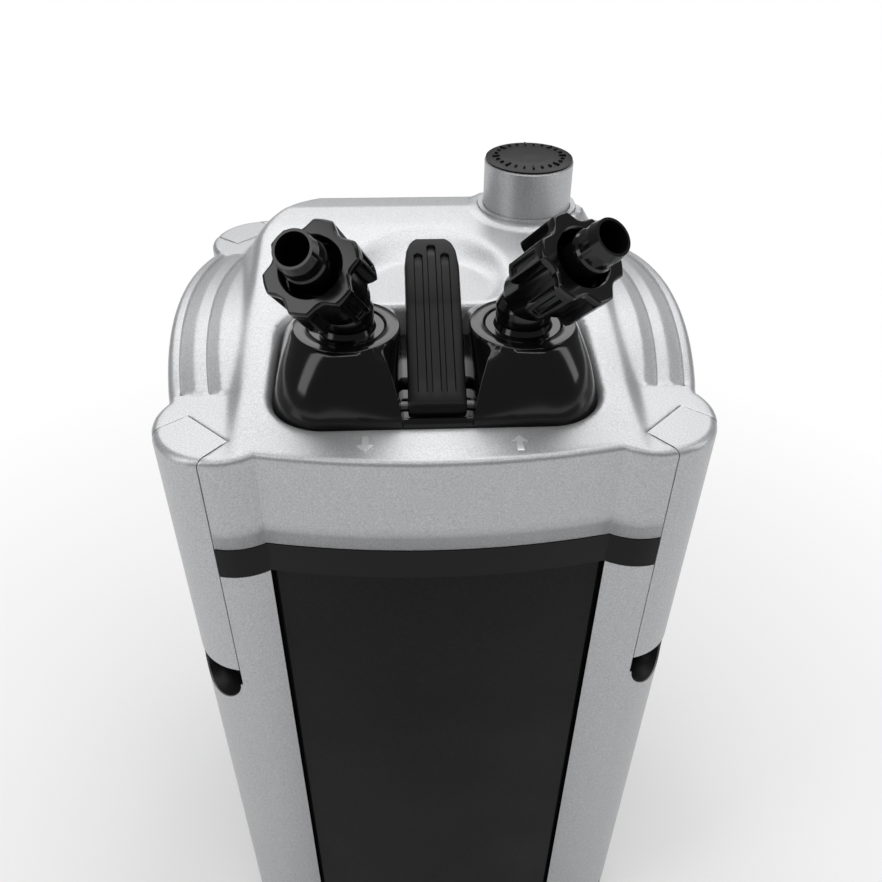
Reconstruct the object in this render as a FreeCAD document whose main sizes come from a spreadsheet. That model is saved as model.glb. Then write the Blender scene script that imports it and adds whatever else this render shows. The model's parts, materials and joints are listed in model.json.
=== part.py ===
import FreeCAD, Part
import math
import os
import Sketcher
from FreeCAD import Placement, Rotation, Vector

# Canister filter for an aquarium: millimetres, X to the right, Y to the back, Z up.
# The origin is on the floor, under the middle of the canister. The front is at -Y.
# Heights called rise are measured from the deck, the flat top of the head's corners.

DOCUMENT = FreeCAD.newDocument("canister_filter")
SHEET = DOCUMENT.addObject("Spreadsheet::Sheet", "sizes")

SIZES = {
    # canister and head, in plan at deck height
    "deck_height": 330, "crease_half": 67, "crease_reach": 103, "bow_reach": 110,
    "pillar_mid_half": 77, "pillar_mid_reach": 106.7, "seam_half": 86.5, "seam_reach": 106,
    "corner_reach": 99.3, "wall_draft": 1.5, "skirt_depth": 42.4, "band_depth": 14.6,
    "joint_line": 0.4, "edge_radius": 2.6,
    # vessel
    "vessel_wall": 2.6, "vessel_floor": 3, "panel_setback": 0.6, "panel_gap": 0.5,
    "plinth_height": 9, "neck_setback": 3.2, "foot_height": 3, "foot_radius": 9,
    "foot_place": 74, "foot_socket": 1.5, "pillar_wall": 2.6, "pillar_gap": 0.3,
    # corner latches, in the plane through the corner
    "gap_start": 120.53, "gap_half_width": 12.1, "seam_gap": 0.35, "cheek_wall": 2.3,
    "channel_floor": 126.5, "latch_drop": 113.5, "latch_wall": 2.4, "latch_pivot_in": 125,
    "latch_pivot_drop": 3.2, "latch_pin_radius": 1.25, "running_gap": 0.05,
    "notch_height": 22.5, "notch_floor": 127.5, "latch_edge_radius": 3.2,
    "hook_pivot_out": 131.5, "hook_pivot_drop": 22, "hook_pin_radius": 1.5, "hook_half_width": 8,
    "hook_thickness": 2.6, "hook_nose_height": 3.2, "hook_nose_out": 130, "lug_reach": 3,
    "lug_height": 5, "hook_play": 0.9, "latch_swing_gap": 2.2, "latch_lift_gap": 0.4,
    # head cover
    "cover_wall": 2.8, "plateau_front_half": 71, "plateau_back_half": 84, "plateau_front": 101,
    "plateau_back": 106, "plateau_rise": 17.5, "plateau_crown": 19,
    "shoulder_half": 62, "shoulder_rise": 6, "terrace_step": 1.6, "terrace_width": 9.5,
    # recess and valve block
    "block_half": 63.5, "block_front": 87, "block_back": 8, "block_corner": 21,
    "recess_gap": 0.5, "recess_rim": 7, "recess_drop": 14.6, "recess_floor": 2.5,
    "ring_place": 33.8, "ring_back": 56, "ring_radius": 20.4, "ring_rise": 26,
    "socket_radius": 15, "socket_depth": 14, "port_radius": 8,
    "valve_drop": 1, "valve_radius": 10, "valve_half": 11, "chamber_wall": 2.4,
    "valve_shaft_radius": 2.5, "spigot_radius": 11.5, "spigot_drop": 34, "spigot_gap": 0.4,
    "port_seal_drop": 28, "seal_thick": 1.6, "valley_half": 12.6, "valley_top_half": 22,
    "valley_drop": 6, "valley_turn": 16, "lip_rise": 2, "lip_thick": 2.4, "riser_wall": 2.6,
    # lever
    "lever_half": 11, "lever_thick": 5, "lever_pivot_front": 79, "lever_pivot_rise": 3.6,
    "lever_nose": 4.4, "lever_pin_radius": 2, "lever_bend_front": 28, "lever_bend_rise": 35.5,
    "lever_end_front": 11, "lever_end_rise": 40.5, "lever_tip_half": 6.8, "groove_width": 1.6, "groove_depth": 0.8,
    "groove_pitch": 5.2,
    # hose connectors, from the ring's top and along the tilted axis
    "elbow_tilt": 45, "elbow_rise": 10, "elbow_radius": 10.6, "plug_depth": 13.4,
    "plug_gap": 0.08, "thread_radius": 12, "thread_start": 13, "thread_end": 26,
    "nut_start": 15.5, "nut_end": 37, "nut_radius": 14, "lobe_radius": 17.6, "lobe_width": 7,
    "nut_mouth": 11, "neck_radius": 7.2, "bead_radius": 8.3, "bead_start": 41, "barb_radius": 7.8,
    "barb_tip_radius": 7.1, "barb_end": 53, "barb_bore": 5.6, "out_turn": -112, "in_turn": -50,
    # priming pump
    "knob_x": 52, "knob_y": 79, "knob_radius": 21.7, "knob_rise": 41.5, "knob_wall": 2,
    "knob_bottom": 4, "collar_rise": 18, "collar_radius": 24.4, "collar_gap": 0.3,
    "pump_radius": 16, "pump_wall": 2, "pump_top": 12, "piston_gap": 0.25, "piston_rise": 1,
    "piston_height": 7, "rod_radius": 4.5, "cap_height": 1.6, "spring_radius": 11,
    "spring_wire": 1.4, "spring_turns": 6, "pump_hole": 5,
    # head base and pump
    "base_rise": 38.4, "base_wall": 3.4, "plug_wall": 3, "plug_bottom": 58, "plug_play": 1.2,
    "gasket_drop": 47, "gasket_height": 4, "gasket_thick": 2.4, "motor_x": -22, "motor_y": 47,
    "well_radius": 11.6, "well_wall": 1.5, "well_top": 4, "motor_radius": 31, "motor_top": 4.4,
    "motor_wall": 2, "rotor_radius": 10.6, "rotor_bottom": 35, "rotor_top": 9.5,
    "shaft_radius": 1.5, "volute_radius": 24, "impeller_radius": 19, "impeller_height": 10,
    "blade_count": 6, "blade_width": 1.6, "eye_radius": 9, "duct_width": 18,
    "pipe_place": 67.2, "pipe_radius": 11, "pipe_wall": 2, "bell_radius": 13.4,
    # baskets and media
    "basket_half": 90, "basket_cut": 32, "basket_pipe_cut": 64, "basket_height": 72,
    "basket_wall": 2, "basket_start": 16, "basket_gap": 0.3, "slot_width": 5, "slot_pitch": 12,
    "slot_count": 11, "slot_length": 116, "lid_thickness": 4,
    "ring_media_radius": 8, "ring_media_bore": 3.6, "ring_media_height": 22,
    "foam_height": 46, "floss_height": 30, "media_gap": 1,
    # cord gland and screws
    "gland_x": -60, "gland_drop": 26, "gland_radius": 6, "gland_flange": 8.4, "gland_reach": 7,
    "gland_bore": 3.6, "gland_room": 4.4, "gland_grip": 3.2, "screw_x": 87, "screw_y": 44, "screw_radius": 2, "screw_head": 3.6,
    "post_radius": 4.4,
}


class Dim:
    """A size: its value, and the spreadsheet formula that it comes from."""

    def __init__(self, value, text=None):
        self.value = float(value)
        self.text = text or "%.6g" % self.value

    def mix(self, other, sign, value):
        return Dim(value, "(%s %s %s)" % (self.text, sign, other.text))

    def __add__(self, other):
        other = dim(other)
        return self.mix(other, "+", self.value + other.value)

    def __sub__(self, other):
        other = dim(other)
        return self.mix(other, "-", self.value - other.value)

    def __mul__(self, other):
        other = dim(other)
        return self.mix(other, "*", self.value * other.value)

    def __truediv__(self, other):
        other = dim(other)
        return self.mix(other, "/", self.value / other.value)

    def __radd__(self, other):
        return dim(other) + self

    def __rsub__(self, other):
        return dim(other) - self

    def __rmul__(self, other):
        return dim(other) * self

    def __neg__(self):
        return dim(0) - self

    def __float__(self):
        return self.value


def dim(value):
    return value if isinstance(value, Dim) else Dim(value)


class Sizes:
    """The spreadsheet's cells, read by their alias."""


S = Sizes()
for row, (alias, number) in enumerate(SIZES.items(), start=1):
    SHEET.set("A%d" % row, alias)
    SHEET.set("B%d" % row, str(number))
    SHEET.setAlias("B%d" % row, alias)
DOCUMENT.recompute()
for alias in SIZES:
    setattr(S, alias, Dim(SHEET.get(alias), "sizes." + alias))

DECK = S.deck_height


def bind(thing, name, value):
    """Set a property from a size and keep it tied to the sheet."""
    value = dim(value)
    thing.setExpression(name, value.text)


def rise(drop):
    """Height above the floor of something that lies drop under the deck."""
    return DECK - drop


# Plain drawing helpers


def feature(label, shape):
    """A piece whose form is worked out here from the sheet's sizes."""
    made = DOCUMENT.addObject("Part::Feature", label)
    made.Label = label
    made.Shape = shape
    return made


def body(label):
    made = DOCUMENT.addObject("PartDesign::Body", label)
    made.Label = label
    return made


def sketch(owner, plane="XY_Plane", lift=0, shift=(0, 0), turn=0):
    """A sketch on one of the body's own planes, moved within it and lifted off it."""
    drawn = owner.newObject("Sketcher::SketchObject", "sketch")
    support = next(item for item in owner.Origin.OriginFeatures if item.Role == plane)
    drawn.AttachmentSupport = [(support, "")]
    drawn.MapMode = "FlatFace"
    offset = Placement(Vector(0, 0, 0), Rotation(Vector(0, 0, 1), float(turn)))
    drawn.AttachmentOffset = offset
    for axis, value in zip("xyz", (shift[0], shift[1], lift)):
        bind(drawn, "AttachmentOffset.Base." + axis, value)
    return drawn


def hold(drawn, line, end, x, y):
    """Tie one point of a sketch to two sizes."""
    for kind, value in (("DistanceX", dim(x)), ("DistanceY", dim(y))):
        number = drawn.addConstraint(Sketcher.Constraint(kind, -1, 1, line, end, value.value))
        drawn.setExpression("Constraints[%d]" % number, value.text)


def polygon(drawn, points):
    first = drawn.GeometryCount
    count = len(points)
    flat = [Vector(float(x), float(y), 0) for x, y in points]
    for step in range(count):
        drawn.addGeometry(Part.LineSegment(flat[step], flat[(step + 1) % count]), False)
    for step in range(count):
        joined = first + (step + 1) % count
        drawn.addConstraint(Sketcher.Constraint("Coincident", first + step, 2, joined, 1))
    for step, (x, y) in enumerate(points):
        hold(drawn, first + step, 1, x, y)
    return drawn


def ring_line(drawn, x, y, radius):
    number = drawn.GeometryCount
    centre = Vector(float(x), float(y), 0)
    drawn.addGeometry(Part.Circle(centre, Vector(0, 0, 1), float(radius)), False)
    hold(drawn, number, 3, x, y)
    made = drawn.addConstraint(Sketcher.Constraint("Radius", number, float(radius)))
    drawn.setExpression("Constraints[%d]" % made, dim(radius).text)
    return drawn


def pad(owner, drawn, length):
    made = owner.newObject("PartDesign::Pad", "pad")
    made.Profile = drawn
    bind(made, "Length", length)
    DOCUMENT.recompute()
    return made


def pocket(owner, drawn, length):
    """Cut from the sketch downwards."""
    made = owner.newObject("PartDesign::Pocket", "pocket")
    made.Profile = drawn
    bind(made, "Length", length)
    DOCUMENT.recompute()
    return made


def lathe(owner, points, cut=False, turn=0, shift=(0, 0)):
    """Turn a profile of (radius, height) points about the sketch's own upright axis."""
    drawn = polygon(sketch(owner, "XZ_Plane", 0, shift, turn), points)
    made = owner.newObject("PartDesign::Groove" if cut else "PartDesign::Revolution", "turned")
    made.Profile = drawn
    made.ReferenceAxis = (drawn, ["V_Axis"])
    made.Angle = 360
    DOCUMENT.recompute()
    return made


def turned(label, points, x=0, y=0, z=0):
    """A piece turned about an upright axis at x, y, with its profile's zero height at z."""
    made = body(label)
    lathe(made, points)
    return place(made, x, y, z)


def place(made, x=0, y=0, z=0, axis=(0, 0, 1), angle=0):
    made.Placement = Placement(Vector(0, 0, 0), Rotation(Vector(*axis), float(angle)))
    for name, value in zip("xyz", (x, y, z)):
        bind(made, "Placement.Base." + name, value)
    return made


def tube_profile(inner, outer, low, high):
    return [(inner, low), (outer, low), (outer, high), (inner, high)]


def rod(radius, length, x=0, y=0, z=0, axis=(0, 0, 1), angle=0):
    made = DOCUMENT.addObject("Part::Cylinder", "rod")
    bind(made, "Radius", radius)
    bind(made, "Height", length)
    return place(made, x, y, z, axis, angle)


def minus(label, base, tool):
    made = DOCUMENT.addObject("Part::Cut", label)
    made.Label = label
    made.Base = base
    made.Tool = tool
    return made


def joined(label, pieces):
    made = DOCUMENT.addObject("Part::MultiFuse", label)
    made.Label = label
    made.Shapes = pieces
    return made


def group(label, pieces):
    """Several like pieces that share one file."""
    made = DOCUMENT.addObject("Part::Compound", label)
    made.Label = label
    made.Links = pieces
    return made


# The plan outline, which narrows evenly towards the floor


CORNERS = {"front_right": 0, "rear_right": 1, "rear_left": 2, "front_left": 3}


def narrowing(z):
    """How wide the walls are at height z, against their width at the deck."""
    fall = math.tan(math.radians(float(S.wall_draft))) / float(S.bow_reach)
    return 1 - (float(DECK) - float(z)) * fall


def spun(x, y, corner):
    """A plan point of the front right corner, carried round to another corner."""
    for _ in range(corner):
        x, y = -y, x
    return x, y


def plan_wire(arcs, z, inset=0):
    """A closed wire at height z through arcs and lines given in plan at deck height."""
    scale = narrowing(z) * (1 - float(inset) / float(S.bow_reach))
    edges = []
    for points in arcs:
        placed = [Vector(float(x) * scale, float(y) * scale, float(z)) for x, y in points]
        if len(placed) == 3:
            edges.append(Part.Arc(*placed).toShape())
        else:
            edges.append(Part.LineSegment(*placed).toShape())
    return Part.Wire(edges)


def walls(arcs, low, high, inset=0):
    """A solid whose walls lean in evenly from high down to low."""
    wires = [plan_wire(arcs, low, inset), plan_wire(arcs, high, inset)]
    return Part.makeLoft(wires, True, True)


def soft_topped(arcs, low, high, radius):
    """Walls whose top edge is rounded off in narrow bands."""
    wires = [plan_wire(arcs, low)]
    for angle in (0, 22.5, 45, 67.5, 90):
        turn = math.radians(angle)
        wires.append(plan_wire(arcs, high - radius * (1 - math.sin(turn)), radius * (1 - math.cos(turn))))
    return Part.makeLoft(wires, True, True)


def skirt_plan():
    arcs = []
    for corner in range(4):
        crease = (S.crease_half, -S.crease_reach)
        other_crease = (S.crease_reach, -S.crease_half)
        start = spun(-float(S.crease_half), -float(S.crease_reach), corner)
        seam, other_seam = (S.seam_half, -S.seam_reach), (S.seam_reach, -S.seam_half)
        middle = (S.pillar_mid_half, -S.pillar_mid_reach)
        other_middle = (S.pillar_mid_reach, -S.pillar_mid_half)
        turn = [spun(float(x), float(y), corner) for x, y in
                ((0, -S.bow_reach), crease, middle, seam, (S.corner_reach, -S.corner_reach),
                 other_seam, other_middle, other_crease)]
        arcs.append([start, turn[0], turn[1]])
        arcs.append([turn[1], turn[2], turn[3]])
        arcs.append([turn[3], turn[4], turn[5]])
        arcs.append([turn[5], turn[6], turn[7]])
    return arcs


def panel_plan():
    """The vessel's own outline: four bowed panels and a flat across each corner."""
    arcs = []
    half = float(S.crease_half - S.panel_gap - S.panel_setback * 3)
    reach = float(S.crease_reach - S.panel_setback)
    for corner in range(4):
        points = [(-half, -reach), (0, -float(S.bow_reach - S.panel_setback)), (half, -reach),
                  (reach, -half)]
        start, middle, end, after = [spun(x, y, corner) for x, y in points]
        arcs.append([start, middle, end])
        arcs.append([end, after])
    return arcs


def corner_plan(points):
    """Lines through points given as (out, along): out of the front right corner, along its face."""
    root = math.sqrt(2)
    placed = [((float(out) + float(along)) / root, (float(along) - float(out)) / root)
              for out, along in points]
    return [[placed[step], placed[(step + 1) % len(placed)]] for step in range(len(placed))]


SEAM_OUT = (float(S.seam_half) + float(S.seam_reach)) / math.sqrt(2)
SEAM_ALONG = (float(S.seam_reach) - float(S.seam_half)) / math.sqrt(2)
FLARE = (SEAM_ALONG - float(S.gap_half_width)) / (SEAM_OUT - float(S.gap_start))
FAR_OUT = 170


def channel_half(out):
    """Half the latch channel's width at a distance out of the corner."""
    return float(S.gap_half_width) + FLARE * (float(out) - float(S.gap_start))


def channel(start, low, high, grow=0):
    """The wedge-shaped space that the front right latch fills, from start outwards."""
    start, grow = float(start), float(grow)
    near, far = channel_half(start) + grow, channel_half(FAR_OUT) + grow
    points = [(start, -near), (FAR_OUT, -far), (FAR_OUT, far), (start, near)]
    return walls(corner_plan(points), low, high)


def corner_rod(out, drop, radius, half_length):
    """A round bar lying along the front right corner's face."""
    root, half = math.sqrt(2), float(half_length)
    start = Vector((float(out) - half) / root, (-half - float(out)) / root, float(rise(drop)))
    return Part.makeCylinder(float(radius), 2 * half, start, Vector(1, 1, 0))


def carried(shape, corner):
    """A copy of a front right shape, carried round to another corner."""
    return shape.rotated(Vector(0, 0, 0), Vector(0, 0, 1), 90 * corner)


def rounded(half_x, low_y, high_y, radius, z, low_x=None):
    """A rectangle with round corners, as a wire of eight edges."""
    left = -float(half_x) if low_x is None else float(low_x)
    right, low, high, r = float(half_x), float(low_y), float(high_y), float(radius)
    k = r * (1 - math.sqrt(0.5))
    z = float(z)
    p = [Vector(x, y, z) for x, y in
         ((left + r, low), (right - r, low), (right - k, low + k), (right, low + r),
          (right, high - r), (right - k, high - k), (right - r, high), (left + r, high),
          (left + k, high - k), (left, high - r), (left, low + r), (left + k, low + k))]
    edges = [Part.LineSegment(p[0], p[1]).toShape(), Part.Arc(p[1], p[2], p[3]).toShape(),
             Part.LineSegment(p[3], p[4]).toShape(), Part.Arc(p[4], p[5], p[6]).toShape(),
             Part.LineSegment(p[6], p[7]).toShape(), Part.Arc(p[7], p[8], p[9]).toShape(),
             Part.LineSegment(p[9], p[10]).toShape(), Part.Arc(p[10], p[11], p[0]).toShape()]
    return Part.Wire(edges)


def across(points, half):
    """A solid with a side profile of (y, drop under the deck) points, half wide each way."""
    half = float(half)
    edges = []
    for span in points:
        placed = [Vector(-half, float(y), float(rise(drop))) for y, drop in span]
        edges.append(Part.Arc(*placed).toShape() if len(placed) == 3
                     else Part.LineSegment(*placed).toShape())
    return Part.Face(Part.Wire(edges)).extrude(Vector(2 * half, 0, 0))


def upright(radius, low, high, x=0, y=0):
    low, high = float(low), float(high)
    return Part.makeCylinder(float(radius), high - low, Vector(float(x), float(y), low))


# The head's silver cover


SKIRT = skirt_plan()
PANEL = panel_plan()
SKIRT_LOW = rise(S.skirt_depth)
BAND_LOW = rise(S.skirt_depth + S.band_depth)


def roof(lower=0):
    """The side profile of the plateau: a long slope up from the front, then a crown."""
    low, front, back = float(lower), -float(S.plateau_front), float(S.plateau_back)
    climb, crown = float(S.plateau_rise), float(S.plateau_crown)
    middle, knee, end, far = (front + 60) / 2, 60, back - 1, back + 6
    return [[(front, low + 1), (middle, low - climb * 0.44), (knee, low - climb)],
            [(knee, low - climb), (back - 20, low - crown), (end, low - crown * 0.52)],
            [(end, low - crown * 0.52), (far, low + 1)], [(far, low + 1), (far, 12)],
            [(far, 12), (front, 12)],
            [(front, 12), (front, low + 1)]]


def plateau_wire(grow, z, shrink=0):
    """The plateau in plan: narrow at the front, wide at the back, with round back corners."""
    front_half = float(S.plateau_front_half) + grow - shrink
    back_half = float(S.plateau_back_half) + grow - shrink
    front = shrink - float(S.plateau_front) - grow * 0.3
    back = float(S.plateau_back) + grow * 0.3 - shrink
    z = float(z)
    p = [Vector(x, y, z) for x, y in
         ((-front_half, front), (front_half, front), (back_half, back - 58),
          (back_half - 8, back - 22), (back_half - 36, back - 3), (0, back),
          (36 - back_half, back - 3), (8 - back_half, back - 22), (-back_half, back - 58))]
    edges = [Part.LineSegment(p[0], p[1]), Part.LineSegment(p[1], p[2]), Part.Arc(p[2], p[3], p[4]),
             Part.Arc(p[4], p[5], p[6]), Part.Arc(p[6], p[7], p[8]), Part.LineSegment(p[8], p[0])]
    return Part.Wire([edge.toShape() for edge in edges])


def plateau(lower=0, shrink=0):
    wires = [plateau_wire(grow, DECK + climb, shrink)
             for grow, climb in ((6, -12), (4, 2), (-1, 12), (-8, 22))]
    inside = walls(SKIRT, rise(30), DECK + 30, shrink)
    return Part.makeLoft(wires, True, True).common(across(roof(lower), 120)).common(inside)


def shoulders(lower=0, shrink=0):
    """Three terraces on each side, each arched from pillar to pillar."""
    half = float(S.shoulder_half)
    terraces = None
    for step in range(3):
        top = float(S.shoulder_rise) + step * float(S.terrace_step) - lower
        end = step * float(S.terrace_step) - lower - 0.4
        arch = [[(-half + shrink, -end), (0, -top), (half - shrink, -end)],
                [(half - shrink, -end), (half - shrink, 12)], [(half - shrink, 12), (shrink - half, 12)],
                [(shrink - half, 12), (shrink - half, -end)]]
        inset = shrink + 0.6 + step * float(S.terrace_width)
        band = walls(SKIRT, rise(12), DECK + 20, inset).common(across(arch, 120))
        terraces = band if terraces is None else terraces.fuse(band)
    return terraces


def scoop(grow=0):
    """The finger hollow behind the lever's free end."""
    floor, top = 8.2 - grow, 22
    dish = Part.makeCone(38 + grow, 38 + grow + (top - floor), top - floor,
                         Vector(0, 9, float(DECK) + floor))
    return dish


ROOF_TILT = math.degrees(math.atan2(8.6, float(S.block_front) - float(S.block_back)))


def block_plan(grow, z):
    grow = float(grow)
    return rounded(S.block_half + grow, -float(S.block_front) - grow, grow - float(S.block_back),
                   float(S.block_corner) + grow * 0.6, z)


def recess(grow=0):
    """The well that the valve block stands in, with a soft rim that follows the roof."""
    floor = float(rise(S.recess_drop)) - grow
    gap = float(S.recess_gap) + grow
    return Part.makeLoft([block_plan(gap, floor), block_plan(gap, float(DECK) + 40)], True, True)


def recess_rim(grow=0):
    rim = float(S.recess_rim)
    wires = [block_plan(0.4 + grow, float(DECK) - 2.6 - grow), block_plan(1.6 + grow, float(DECK) - grow),
             block_plan(rim * 0.55 + grow, float(DECK) + 2 - grow),
             block_plan(rim + grow, float(DECK) + 3.2 - grow),
             block_plan(rim * 2.4 + grow, float(DECK) + 12 - grow)]
    bevel = Part.makeLoft(wires, True, True)
    bevel.rotate(Vector(0, -float(S.block_front), float(DECK)), Vector(1, 0, 0), ROOF_TILT)
    bevel.translate(Vector(0, 0, -1.4))
    return bevel


BARREL_ROOM = math.hypot(float(S.latch_pivot_in - S.gap_start), float(S.latch_pivot_drop))


def latch_pocket():
    """Room for a latch's barrel to turn in, and the holes for its pin."""
    half = channel_half(S.latch_pivot_in)
    bar = corner_rod(S.latch_pivot_in, S.latch_pivot_drop, BARREL_ROOM, half)
    above = channel(S.latch_pivot_in, rise(S.latch_pivot_drop + BARREL_ROOM), DECK + 5)
    pin = corner_rod(S.latch_pivot_in, S.latch_pivot_drop,
                     S.latch_pin_radius + S.running_gap, half + float(S.cheek_wall))
    return bar.fuse(above).fuse(pin)


def post(x, y):
    return upright(S.post_radius, rise(S.base_rise), DECK + 30, x, y)


def collar_boss():
    """The raised seat that the knob's collar is pressed into."""
    low, high = 4, float(S.collar_rise) - 0.6
    boss = Part.makeCone(float(S.collar_radius) + 7, float(S.collar_radius) + 2.4, high - low,
                         Vector(float(S.knob_x), float(S.knob_y), float(DECK) + low))
    boss = boss.common(walls(SKIRT, rise(30), DECK + 30, 0.6))
    return boss.cut(carried(channel(S.gap_start, DECK, DECK + 20, S.latch_swing_gap), 1))


SCREW_SPOTS = [(sx, sy) for sx in (-1, 1) for sy in (-1, 1)]


def head_cover():
    skin = soft_topped(SKIRT, SKIRT_LOW, DECK, S.edge_radius)
    skin = skin.fuse(plateau()).fuse(shoulders()).fuse(collar_boss())
    wall = float(S.cover_wall)
    hollow = walls(SKIRT, SKIRT_LOW - 1, rise(wall), wall)
    hollow = hollow.fuse(plateau(wall, wall)).fuse(shoulders(wall, wall))
    hollow = hollow.cut(scoop(wall)).cut(recess(S.recess_floor)).cut(recess_rim(wall))
    hollow = hollow.cut(upright(S.collar_radius + 2.4, rise(10), DECK + 30, S.knob_x, S.knob_y))
    cheeks = channel(S.channel_floor - S.cheek_wall, SKIRT_LOW - 2, DECK + 9, S.cheek_wall)
    cheeks = cheeks.fuse(channel(S.gap_start - 4, rise(12), DECK + 9, S.cheek_wall))
    for corner in range(4):
        hollow = hollow.cut(carried(cheeks, corner))
    for sx, sy in SCREW_SPOTS:
        hollow = hollow.cut(post(float(S.screw_x) * sx, float(S.screw_y) * sy))
    cover = skin.cut(hollow)
    cover = cover.cut(scoop()).cut(recess()).cut(recess_rim())
    cover = cover.cut(upright(S.collar_radius + 0.1, rise(14), DECK + 30, S.knob_x, S.knob_y))
    for side in (-1, 1):
        cover = cover.cut(upright(S.spigot_radius + 0.7, rise(S.skirt_depth), DECK,
                                  side * float(S.ring_place), -float(S.ring_back)))
    latch_room = channel(S.channel_floor, SKIRT_LOW - 2, DECK + 9).fuse(latch_pocket())
    for corner in range(4):
        cover = cover.cut(carried(latch_room, corner))
    for sx, sy in SCREW_SPOTS:
        cover = cover.cut(upright(S.screw_radius + 0.02, rise(S.base_rise + 1), rise(14),
                                  float(S.screw_x) * sx, float(S.screw_y) * sy))
    gland = Part.makeCylinder(float(S.gland_radius) + 0.1, 30,
                              Vector(float(S.gland_x), 90, float(rise(S.gland_drop))), Vector(0, 1, 0))
    return cover.cut(gland)



feature("head_cover", head_cover())


# The canister: vessel, rim band, corner pillars, feet


def vessel():
    wall, neck = float(S.vessel_wall), float(S.neck_setback)
    shoulder = BAND_LOW - S.pillar_gap
    plinth_top = S.foot_height + S.plinth_height
    made = walls(PANEL, S.foot_height, shoulder)
    made = made.fuse(walls(SKIRT, S.foot_height, plinth_top, S.pillar_gap))
    made = made.fuse(walls(PANEL, S.foot_height, SKIRT_LOW - S.joint_line, neck))
    cavity = walls(PANEL, S.foot_height + S.vessel_floor, shoulder - 3, wall)
    cavity = cavity.fuse(walls(PANEL, S.foot_height + S.vessel_floor, DECK, neck + wall))
    made = made.cut(cavity)
    for sx, sy in SCREW_SPOTS:
        spot = (sx * float(S.foot_place), sy * float(S.foot_place))
        if (sx, sy) != (1, -1):
            made = made.fuse(upright(6, S.foot_height + 1, S.basket_start, *spot))
        made = made.cut(upright(S.foot_radius + 0.1, 0, S.foot_height + S.foot_socket, *spot))
    ledge = upright(6, S.foot_height + 1, S.basket_start, 20, -74)
    return made.fuse(ledge).fuse(upright(6, S.foot_height + 1, S.basket_start, 74, -20))


def catch_lug():
    """The step in the latch channel that a draw hook pulls up against."""
    lug = channel(S.channel_floor - 0.2, BAND_LOW, BAND_LOW + S.lug_height, -S.latch_wall - 0.9)
    return lug.cut(channel(S.channel_floor + S.lug_reach, rise(200), DECK, 5))


def rim_band():
    made = walls(SKIRT, BAND_LOW, SKIRT_LOW - S.joint_line)
    made = made.cut(walls(PANEL, rise(120), DECK, S.neck_setback - 0.1))
    room, lug = channel(S.channel_floor, rise(120), DECK), catch_lug()
    for corner in range(4):
        made = made.cut(carried(room, corner)).fuse(carried(lug, corner))
    return made


def corner_box(low, high):
    """All that lies outside the vessel's flat front right corner, between its panels' edges."""
    half = float(S.crease_half)
    reach = float(S.crease_reach)
    points = [(half, -reach - 30), (reach + 30, -reach - 30), (reach + 30, -half),
              (reach - 0.01, -half), (half, -reach + 0.01)]
    lines = [[points[step], points[(step + 1) % 5]] for step in range(5)]
    return walls(lines, low, high)


def notch(grow=0):
    """The finger hollow under a latch, with a round lower end."""
    top = rise(S.latch_drop)
    low = top - S.notch_height
    half = channel_half(S.notch_floor)
    straight = channel(S.notch_floor - grow, low + half, top + 12, grow)
    scale = narrowing(low + half)
    start = (float(S.notch_floor) - float(grow)) * scale / math.sqrt(2)
    end = Part.makeCylinder(half * scale + float(grow), 40,
                            Vector(start, -start, float(low + half)), Vector(1, -1, 0))
    return straight.fuse(end)


def pillar():
    low, high = S.foot_height + S.plinth_height + S.pillar_gap, BAND_LOW - S.pillar_gap
    made = walls(SKIRT, low, high).common(corner_box(low - 1, high + 1))
    made = made.cut(walls(PANEL, low - 2, high + 2, -S.pillar_gap))
    cheek = float(S.cheek_wall)
    hollow = walls(SKIRT, low - 1, high + 1, S.pillar_wall).common(corner_box(low - 2, high + 2))
    below = S.latch_drop + S.joint_line
    hollow = hollow.cut(channel(S.channel_floor - cheek, rise(below), DECK, cheek)).cut(notch(cheek))
    return made.cut(hollow).cut(channel(S.channel_floor, rise(below), DECK)).cut(notch())


def each_corner(label, shape):
    for name, corner in CORNERS.items():
        feature(label + "_" + name, carried(shape, corner))


feature("canister_vessel", vessel())
feature("rim_band", rim_band())
each_corner("corner_pillar", pillar())


def foot(sx, sy):
    height = S.foot_height + S.foot_socket - 0.1
    return rod(S.foot_radius, height, S.foot_place * sx, S.foot_place * sy, 0)


group("rubber_feet", [foot(sx, sy) for sx, sy in SCREW_SPOTS])


# Corner latches: a lever hinged on the head, and a draw hook hinged on the lever


LATCH_IN = S.channel_floor + 1


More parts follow.
